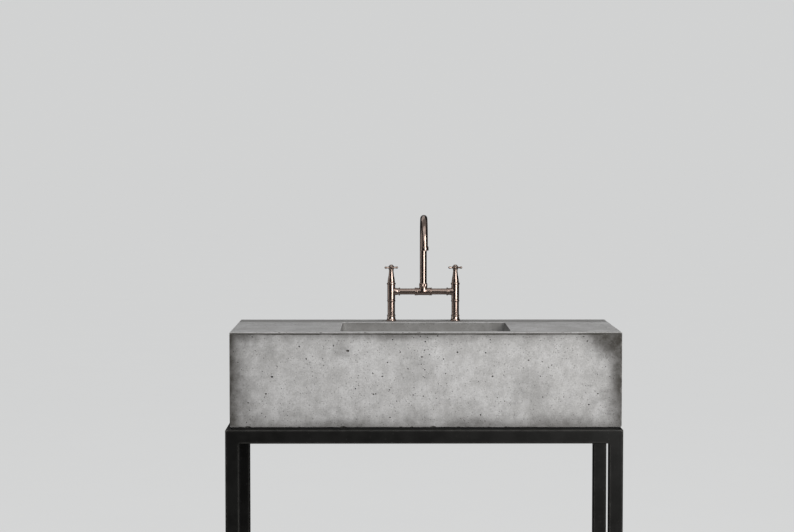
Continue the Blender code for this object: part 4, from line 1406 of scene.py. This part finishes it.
# %% Bridge: tee, socket and fluted nut
half_tee = (tee_high.x - tee_low.x) / 2
socket_top = tee_high.z - BRIDGE.z
neck_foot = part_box("spout")[0].z - BRIDGE.z
NECK_RADIUS = (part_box("spout")[1].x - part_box("spout")[0].x) / 2
NECK_BORE = NECK_RADIUS + 0.0004  # the swan neck turns in it
tee_half_profile = [
    (0.0113, half_tee), (0.0119, half_tee - 0.0006), (0.0119, half_tee - 0.0027),
    (0.0115, half_tee - 0.0034), (0.0112, half_tee - 0.0040), (0.0112, 0.0125),
]
tee_profile = [(0, half_tee), *tee_half_profile]
tee_profile += [(radius, -reach) for radius, reach in reversed(tee_half_profile)] + [(0, -half_tee)]
tee = lathe("centre_tee", tee_profile, tarnished_copper, BRIDGE, axis="X", ease=0.0004)
socket = lathe("socket", [
    (0, socket_top), (0.0117, socket_top), (0.0121, socket_top - 0.0006), (0.0121, 0.0118),
    (0.0119, 0.0108), (0.0121, 0.0098), (0.0121, 0), (0, 0),
], tarnished_copper, BRIDGE)
socket_bore = lathe("socket_bore", rod(NECK_BORE, 0.040, neck_foot - SEAM), tarnished_copper, BRIDGE)
tee = carve(carve(tee, "UNION", socket), "DIFFERENCE", socket_bore)
hand_over(tee, "washstand", "aged_copper", "tap_tee")

gland_low, gland_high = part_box("tap_gland")
low, high = gland_low.z - BRIDGE.z, gland_high.z - BRIDGE.z
fluted = lathe("fluted_nut", [
    (NECK_BORE, high), (0.0116, high), (0.0122, high - 0.0005), (0.0122, high - 0.0011),
    (0.0126, high - 0.0016), (0.0126, high - 0.0050), (0.0126, low + 0.0018), (0.0122, low + 0.0013),
    (0.0122, low), (NECK_BORE, low),
], tarnished_copper, BRIDGE, ease=0.0002, sides=160)
FLUTES = 40
for vert in fluted.data.vertices:
    across = (vert.co - BRIDGE).xy
    if across.length > 0.01245:
        angle = math.atan2(across.y, across.x)
        across.length -= 0.00032 * (0.5 - 0.5 * math.cos(FLUTES * angle))
        vert.co.xy = BRIDGE.xy + across
hand_over(fluted, "washstand", "aged_copper", "tap_gland")
print("tee", round(2 * half_tee * 1000, 1), "mm long, nut with", FLUTES, "flutes")

# %% Bridge: tubes and collars
for side in ("left", "right"):
    low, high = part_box("tap_bridge_" + side)
    middle = (low + high) / 2
    reach = (high.x - low.x) / 2
    tube_radius = (high.z - low.z) / 2
    tube = lathe("bridge_tube_" + side, [
        (0, reach), (tube_radius - 0.0002, reach), (tube_radius, reach - 0.0003), (tube_radius, 0),
        (tube_radius, 0.0003 - reach), (tube_radius - 0.0002, -reach), (0, -reach),
    ], tarnished_copper, middle, axis="X", ease=0.0001)
    hand_over(tube, "washstand", "aged_copper", "tap_bridge_" + side)
    for end in ("inner", "outer"):
        low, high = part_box(f"tap_collar_{end}_{side}")
        half, radius = (high.x - low.x) / 2, (high.z - low.z) / 2
        collar = lathe(f"collar_{end}_{side}", [
            (tube_radius + SEAM, half), (radius - 0.0009, half), (radius - 0.0002, half - 0.0007),
            (radius, half - 0.0012), (radius - 0.0003, half - 0.0016), (radius - 0.0003, 0.0016 - half),
            (radius, 0.0012 - half), (radius - 0.0002, 0.0007 - half), (radius - 0.0009, -half),
            (tube_radius + SEAM, -half),
        ], tarnished_copper, (low + high) / 2, axis="X", ease=0.0003)
        hand_over(collar, "washstand", "aged_copper", f"tap_collar_{end}_{side}")
print("bridge tubes", round(2 * reach * 1000, 1), "mm long")

# %% [markdown]
# ## The swan neck
#
# A tube that rises, turns over in a half circle and comes down to the nozzle. A curve with a bevel
# is the natural tool, since its centre line is what a pipe bender sets. The bend has a point every
# three degrees, so that no flats show in the highlight that runs along it. The nozzle is a turned
# sleeve with a perforated plate inside, where the water comes out.

# %% Swan neck
neck_low, neck_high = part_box("spout")
nozzle_low, nozzle_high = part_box("spout_nozzle")
nozzle_middle = middle_of("spout_nozzle")
bend = (TAP.y - nozzle_middle.y) / 2
bend_height = neck_high.z - NECK_RADIUS - bend
path = [Vector((TAP.x, TAP.y, neck_low.z + step * (bend_height - neck_low.z) / 8)) for step in range(8)]
for step in range(61):
    angle = math.pi * step / 60
    over, up = bend * math.cos(angle), bend * math.sin(angle)
    path.append(Vector((TAP.x, TAP.y - bend + over, bend_height + up)))
path.append(Vector((TAP.x, nozzle_middle.y, nozzle_low.z + 0.0030)))
centre_line = bpy.data.curves.new("neck_tube", "CURVE")
centre_line.dimensions = "3D"
centre_line.bevel_depth = NECK_RADIUS
centre_line.bevel_resolution = 12
centre_line.use_fill_caps = True
centre_line.materials.append(tarnished_copper)
spline = centre_line.splines.new("POLY")
spline.points.add(len(path) - 1)
for point, place in zip(spline.points, path):
    point.co = (*place, 1)
neck = bpy.data.objects.new("neck_tube", centre_line)
bpy.context.scene.collection.objects.link(neck)
neck = settled(neck)
shape = bmesh.new()
shape.from_mesh(neck.data)
bmesh.ops.remove_doubles(shape, verts=shape.verts, dist=0.00001)
shape.to_mesh(neck.data)
shape.free()
hand_over(neck, "swan_neck", "aged_copper", "spout")
print("neck tube bends at radius", round(bend * 1000, 1), "mm")

# %% Nozzle and its perforated plate
low, high = nozzle_low.z, nozzle_high.z
radius = (nozzle_high.x - nozzle_low.x) / 2
mouth = (nozzle_middle.x, nozzle_middle.y, 0)
sleeve = lathe("nozzle_sleeve", [
    (NECK_RADIUS + SEAM, high), (radius - 0.0010, high), (radius - 0.0004, high - 0.0006),
    (radius, high - 0.0014), (radius, high - 0.0030), (radius - 0.0003, high - 0.0034),
    (radius, high - 0.0038), (radius, low + 0.0012), (radius - 0.0003, low + 0.0004),
    (radius - 0.0009, low), (NECK_RADIUS + SEAM, low), (NECK_RADIUS + SEAM, low + 0.004),
], tarnished_copper, mouth, ease=0.0003)
hand_over(sleeve, "swan_neck", "aged_copper", "spout_nozzle")
plate = lathe("spray_plate", [
    (0, low + 0.0024), (0.0105, low + 0.0024), (0.0105, low + 0.0006), (0.0096, low + 0.0002),
    (0.0088, low + 0.0010), (0, low + 0.0010),
], tarnished_copper, mouth, ease=0.0002)
holes = []
jet = rod(0.0007, low + 0.003, low - 0.001)
for ring, count in ((0.0, 1), (0.0026, 6), (0.0052, 12), (0.0074, 18)):
    for step in range(count):
        angle = math.tau * step / count
        spot = Vector(mouth) + Vector((ring * math.cos(angle), ring * math.sin(angle), 0))
        holes.append(lathe("spray_hole", jet, tarnished_copper, spot, ease=0.0, sides=12))
plate = carve(plate, "DIFFERENCE", *holes)
hand_over(plate, "swan_neck", "aged_copper")
print("spray plate with", len(holes), "holes")

# %% [markdown]
# ## The cross handles
#
# Each handle is a turned hub with four turned arms that end in balls, and a domed cap hides its
# screw. The left one stands fifteen degrees off square, as handles do in use. Both turn with their
# own body, so their pieces ride on it. The arms are joined to the hub by a Boolean, so that no arm
# runs through the hub's inside.

# %% Cross handles
HUB_PROFILE = [
    (0, 0.1690), (0.0062, 0.1690), (0.0067, 0.1686), (0.0071, 0.1681), (0.0084, 0.1668), (0.0092, 0.1650),
    (0.0095, 0.1630), (0.0092, 0.1610), (0.0084, 0.1592), (0.0075, 0.1583), (0.0070, 0.1576),
    (0.0070, 0.1570), (0.0075, 0.1565), (0.0076, 0.1560), (0.0076, 0.1553), (0.0038, 0.1553),
    (0.0038, 0.1634), (0, 0.1634),
]
ARM_HEIGHT = 0.163  # above the deck
ARM_END = 0.0176
ARM_BALL = 0.0036  # the radius of the ball at an arm's end
ARM_PROFILE = [
    (0, ARM_END + ARM_BALL), *arc((0, ARM_END), ARM_BALL, 78, -22, 9),
    (0.0029, ARM_END - 0.0030), (0.0030, ARM_END - 0.0038), (0.0027, ARM_END - 0.0046),
    (0.0024, 0.0108), (0.0024, 0.0092), (0.0028, 0.0076), (0.0034, 0.0060), (0, 0.0060),
]
CAP_PROFILE = [
    (0, 0.1722), (0.0014, 0.17215), (0.0028, 0.1719), (0.0042, 0.17135), (0.0053, 0.1704),
    (0.0058, 0.1697), (0.0060, 0.1693), (0, 0.1693),
]
crosses = (("left", "hot_handle", 15), ("right", "cold_handle", 0))
for side, body, turn in crosses:
    deck_point = on_deck(side)
    hub = lathe("cross_" + side, HUB_PROFILE, tarnished_copper, deck_point, ease=0.0003)
    arms = []
    for step in range(4):
        arm = lathe("arm", ARM_PROFILE, tarnished_copper, ease=0.0004, sides=32)
        lay = Matrix.Rotation(math.radians(turn + 90 * step), 4, "Z") @ Matrix.Rotation(math.pi / 2, 4, "Y")
        arm.matrix_world = Matrix.Translation(deck_point + Vector((0, 0, ARM_HEIGHT))) @ lay
        arms.append(arm)
    hub = carve(hub, "UNION", *arms)
    hand_over(hub, body, "aged_copper", "handle_" + side)
    cap = lathe("dome_" + side, CAP_PROFILE, tarnished_copper, deck_point, ease=0.0003)
    hand_over(cap, body, "aged_copper", "handle_cap_" + side)
print("crosses span", round(2 * (ARM_END + ARM_BALL) * 1000, 1), "mm")

# %% [markdown]
# ## The welded stand
#
# The stand is 40 mm square steel tube, welded, ground flush and then powder coated in one piece, so
# no joint line shows on its faces. Fourteen separate bars would show fourteen sets of ends, so the
# model is one solid. All its bars run straight along an axis. So we cut space into cells where any
# bar begins or ends, mark the cells that are steel, and put a face wherever steel meets air. A
# Boolean union would do too, but it leaves slivers where faces lie flush, and every rounding trips
# over them.
#
# Then only the outward edges are rounded, and only the inward ones get a weld. To tell them apart we
# look at the four quarters round an edge. One quarter of steel is an outward edge, three are an
# inward one, and two mean that the face just goes on.

# %% Welded stand: cells of steel
STEEL_BARS = ("leg_", "top_rail_", "shelf_rail_", "shelf_bearer_")
stand_nodes = [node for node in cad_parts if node.startswith(STEEL_BARS)]
ring_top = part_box("top_rail_front")[1].z
bars = []
for node in stand_nodes:
    low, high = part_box(node)
    run = max(range(3), key=lambda axis: high[axis] - low[axis])
    if run == 2:
        high.z = ring_top
    else:
        low[run], high[run] = cad_low[run], cad_high[run]
    bars.append((low, high))
cuts = [sorted({round(corner[axis], 5) for bar in bars for corner in bar}) for axis in range(3)]


def is_steel(point):
    """Whether any bar holds this point."""
    return any(all(low[axis] < point[axis] < high[axis] for axis in range(3)) for low, high in bars)


def steel_cells():
    """The numbers of the cells that are steel."""
    middles = [[(low + high) / 2 for low, high in zip(cut, cut[1:])] for cut in cuts]
    numbers = itertools.product(*(range(len(middle)) for middle in middles))
    return {cell for cell in numbers if is_steel([middles[axis][cell[axis]] for axis in range(3)])}


steel = steel_cells()
shape = bmesh.new()
corner_verts = {}
for cell in sorted(steel):
    for axis in range(3):
        for side in (0, 1):
            beyond = tuple(cell[a] + (2 * side - 1) * (a == axis) for a in range(3))
            if beyond in steel:
                continue
            one, other = (axis + 1) % 3, (axis + 2) % 3
            ring = []
            for first, second in ((0, 0), (1, 0), (1, 1), (0, 1)):
                key = [0, 0, 0]
                key[axis], key[one], key[other] = cell[axis] + side, cell[one] + first, cell[other] + second
                key = tuple(key)
                if key not in corner_verts:
                    corner_verts[key] = shape.verts.new([cuts[a][key[a]] for a in range(3)])
                ring.append(corner_verts[key])
            shape.faces.new(ring if side else ring[::-1])
welded = piece_of("welded_stand", shape, powder_coat)
print("one solid of", len(steel), "cells from", len(bars), "bars")

# %% Welded stand: vent holes underneath
VENT = 0.004
VENT_INSET = 0.075  # from the ends of a rail
vents = []
for name in ("top_rail_front", "top_rail_back", "shelf_rail_front", "shelf_rail_back"):
    low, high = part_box(name)
    for x in (low.x + VENT_INSET, high.x - VENT_INSET):
        spot = (x, (low.y + high.y) / 2, low.z)
        vents.append(lathe("vent", rod(VENT, 0.012, -0.010), powder_coat, spot))
welded = carve(welded, "DIFFERENCE", *vents)
welded.name = "welded_stand"
print(len(vents), "vent holes of", round(VENT * 2000), "mm")

# %% Welded stand: rounding the outward edges
shape = bmesh.new()
shape.from_mesh(welded.data)
bmesh.ops.remove_doubles(shape, verts=shape.verts, dist=0.00002)
bmesh.ops.recalc_face_normals(shape, faces=shape.faces)


def quarters(edge):
    """Which of the four diagonal directions round an edge are filled with steel, and which are empty."""
    middle = (edge.verts[0].co + edge.verts[1].co) / 2
    span = edge.verts[1].co - edge.verts[0].co
    along = max(range(3), key=lambda axis: abs(span[axis]))
    one, other = [axis for axis in range(3) if axis != along]
    filled, empty = [], []
    for first in (-1, 1):
        for second in (-1, 1):
            aside = Vector((0, 0, 0))
            aside[one], aside[other] = first, second
            (filled if is_steel(middle + aside * 0.0005) else empty).append(aside.normalized())
    return filled, empty


outward, weld_runs = [], []
for edge in shape.edges:
    filled, empty = quarters(edge)
    if len(filled) == 1:
        outward.append(edge)
    if len(filled) == 3:
        weld_runs.append((edge.verts[0].co.copy(), edge.verts[1].co.copy(), empty[0]))
bmesh.ops.bevel(
    shape, geom=outward, offset=0.003, segments=4, profile=0.5, affect="EDGES", clamp_overlap=False
)
bmesh.ops.remove_doubles(shape, verts=shape.verts, dist=0.00002)
shape.to_mesh(welded.data)
shape.free()
hand_over(welded, "washstand", "black_steel", *stand_nodes)
print("stand stands for", len(stand_nodes), "nodes and has", len(weld_runs), "inward edges")

# %% [markdown]
# ## Weld beads
#
# A hand-made weld looks like a row of overlapping coins. Each bead here is a short tube along an
# inward edge, whose radius swells and shrinks every three millimetres and whose rings lean back
# a little. Only a quarter of it stands out of the corner. A bump map could draw the ripples, but
# not the bead's outline where it ends.

# %% Weld beads
BEAD_RADIUS = 0.0027
BEAD_SIDES = 10
RIPPLE = 0.0030


def lay_bead(shape, start, end, facing):
    """Adds one rippled bead along an inward edge."""
    along = (end - start).normalized()
    start, end = start + along * 0.0015, end - along * 0.0035
    beside = along.cross(facing)
    ripples = max(3, round((end - start).length / RIPPLE))
    rings = []
    for step in range(2 * ripples + 1):
        share = step / (2 * ripples)
        taper = min(1.0, 0.55 + 6 * min(share, 1 - share))
        swell = BEAD_RADIUS * taper * (1.05 if step % 2 else 0.86)
        swell *= 1.0 + 0.10 * noise.noise((start + end) * 30 + along * step * 0.7)
        ring = []
        for turn in range(BEAD_SIDES):
            angle = math.tau * turn / BEAD_SIDES
            out = facing * math.cos(angle) + beside * math.sin(angle)
            lean = along * swell * 0.35 * math.cos(angle)
            ring.append(shape.verts.new(start.lerp(end, share) + out * swell + lean))
        rings.append(ring)
    join_rings(shape, rings)


shape = bmesh.new()
for start, end, facing in weld_runs:
    if (end - start).length > 0.012:
        lay_bead(shape, start, end, facing)
bmesh.ops.recalc_face_normals(shape, faces=shape.faces)
beads = piece_of("weld_beads", shape, powder_coat)
hand_over(beads, "washstand", "black_steel", sharp=60)
print("weld beads of", len(beads.data.polygons), "faces")

# %% [markdown]
# ## Shelf, feet and rubber strips
#
# The shelf is a steel sheet that is screwed down to the rails and bearers. Its two ends are folded
# down inside the side rails: the fold stiffens it, and no light shows between sheet and rail. Each
# leg ends in a plastic foot with a square flange and a round glide. Between the stand and the
# concrete lie ribbed rubber strips, which show from the front only as a dark line. The sheet is
# made of blocks, the feet are lathe work on a block, and the strips are outlines that are drawn out
# to length.

# %% Shelf sheet and its screws
low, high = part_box("shelf")
FOLD = 0.016
fold_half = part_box("shelf_rail_right")[1].y - 0.004
folds = []
for end, inward in ((low.x, 1), (high.x, -1)):
    outer, inner = end + inward * 0.0002, end + inward * (high.z - low.z)
    folds.append(block("fold", (min(outer, inner), -fold_half, high.z - FOLD),
                       (max(outer, inner), fold_half, high.z - 0.0012), powder_coat, 0.0005, 2))
sheet_metal = carve(block("shelf_sheet", low, high, powder_coat, 0.0008, 3), "UNION", *folds)
sheet_metal.name = "shelf_sheet"
hand_over(sheet_metal, "washstand", "black_steel", "shelf")
SCREW_HEAD = [
    (0, 0.0024), (0.0020, 0.0023), (0.0036, 0.0017), (0.0046, 0.0006), (0.0048, 0.0), (0, 0.0),
]
bearer = middle_of("shelf_bearer_right").x
screw_places = list(itertools.product(
    (low.x + 0.020, -bearer, bearer, high.x - 0.020), (low.y + 0.018, high.y - 0.018)
))
for number, (x, y) in enumerate(screw_places):
    spot = Vector((x, y, high.z - 0.0001))
    head = lathe(f"shelf_screw_{number}", SCREW_HEAD, powder_coat, spot, ease=0.0004, sides=32)
    socket_hex = lathe("socket_hex", rod(0.0017, 0.004, 0.0009), powder_coat, spot, ease=0.0, sides=6)
    hand_over(carve(head, "DIFFERENCE", socket_hex), "washstand", "black_steel")
print("shelf sheet held by", len(screw_places), "screws")

# %% Feet
GLIDE_RADIUS = 0.0160
GLIDE_PROFILE = [
    (0, 0.0100), (0.0085, 0.0100), (0.0085, 0.0080), (0.0110, 0.0070), (0.0130, 0.0058), (0.0150, 0.0042),
    (0.0159, 0.0026), (GLIDE_RADIUS, 0.0012), (0.0154, 0.0003), (0.0148, 0.0), (0, 0.0),
]
for end in ("front", "back"):
    for side in ("left", "right"):
        low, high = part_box(f"foot_{end}_{side}")
        middle = (low + high) / 2
        flange = block(f"glide_{end}_{side}", (low.x, low.y, 0.0095), (high.x, high.y, 0.0120),
                       moulded_plastic, 0.0009, 3)
        glide = lathe("glide", GLIDE_PROFILE, moulded_plastic, (middle.x, middle.y, 0), ease=0.0003)
        flange = carve(flange, "UNION", glide)
        hand_over(flange, "washstand", "black_plastic", f"foot_{end}_{side}")
print("feet are", round(2 * GLIDE_RADIUS * 1000), "mm across at the glide")

# %% Rubber strips


def ribbed_strip(name, low, high):
    """A strip between two corners, ribbed along its length on its top and both sides."""
    axis = 0 if high.x - low.x > high.y - low.y else 1
    width = high[1 - axis] - low[1 - axis]
    height = high.z - low.z
    ribs = 6
    outline = [(0.0, 0.0), (width, 0.0), (width, height * 0.30), (width - 0.0008, height * 0.42),
               (width - 0.0008, height * 0.58), (width, height * 0.70), (width, height)]
    for rib in range(ribs - 1, 0, -1):
        at = width * rib / ribs
        outline += [(at + 0.0006, height), (at + 0.0003, height - 0.0008), (at - 0.0003, height - 0.0008),
                    (at - 0.0006, height)]
    outline += [(0.0, height), (0.0, height * 0.70), (0.0008, height * 0.58), (0.0008, height * 0.42),
                (0.0, height * 0.30)]
    shape = bmesh.new()
    pieces = max(2, round((high[axis] - low[axis]) / 0.04))
    rings = []
    for step in range(pieces + 1):
        ring = []
        for across, up in outline:
            point = Vector((0, 0, low.z + up))
            point[axis] = low[axis] + (high[axis] - low[axis]) * step / pieces
            point[1 - axis] = low[1 - axis] + across
            ring.append(shape.verts.new(point))
        rings.append(ring)
    join_rings(shape, rings)
    bmesh.ops.recalc_face_normals(shape, faces=shape.faces)
    return piece_of(name, shape, black_rubber)


for side in ("front", "back", "left", "right"):
    strip = ribbed_strip("rubber_strip_" + side, *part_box("bearing_strip_" + side))
    hand_over(strip, "washstand", "rubber", "bearing_strip_" + side)
print("rubber strips on four sides")

# %% [markdown]
# ## Measuring up
#
# The dressed model must keep the construction's size. The last cell prints the construction's box.

# %% Measuring up
print("construction, metres:", [round(side, 4) for side in cad_high - cad_low])
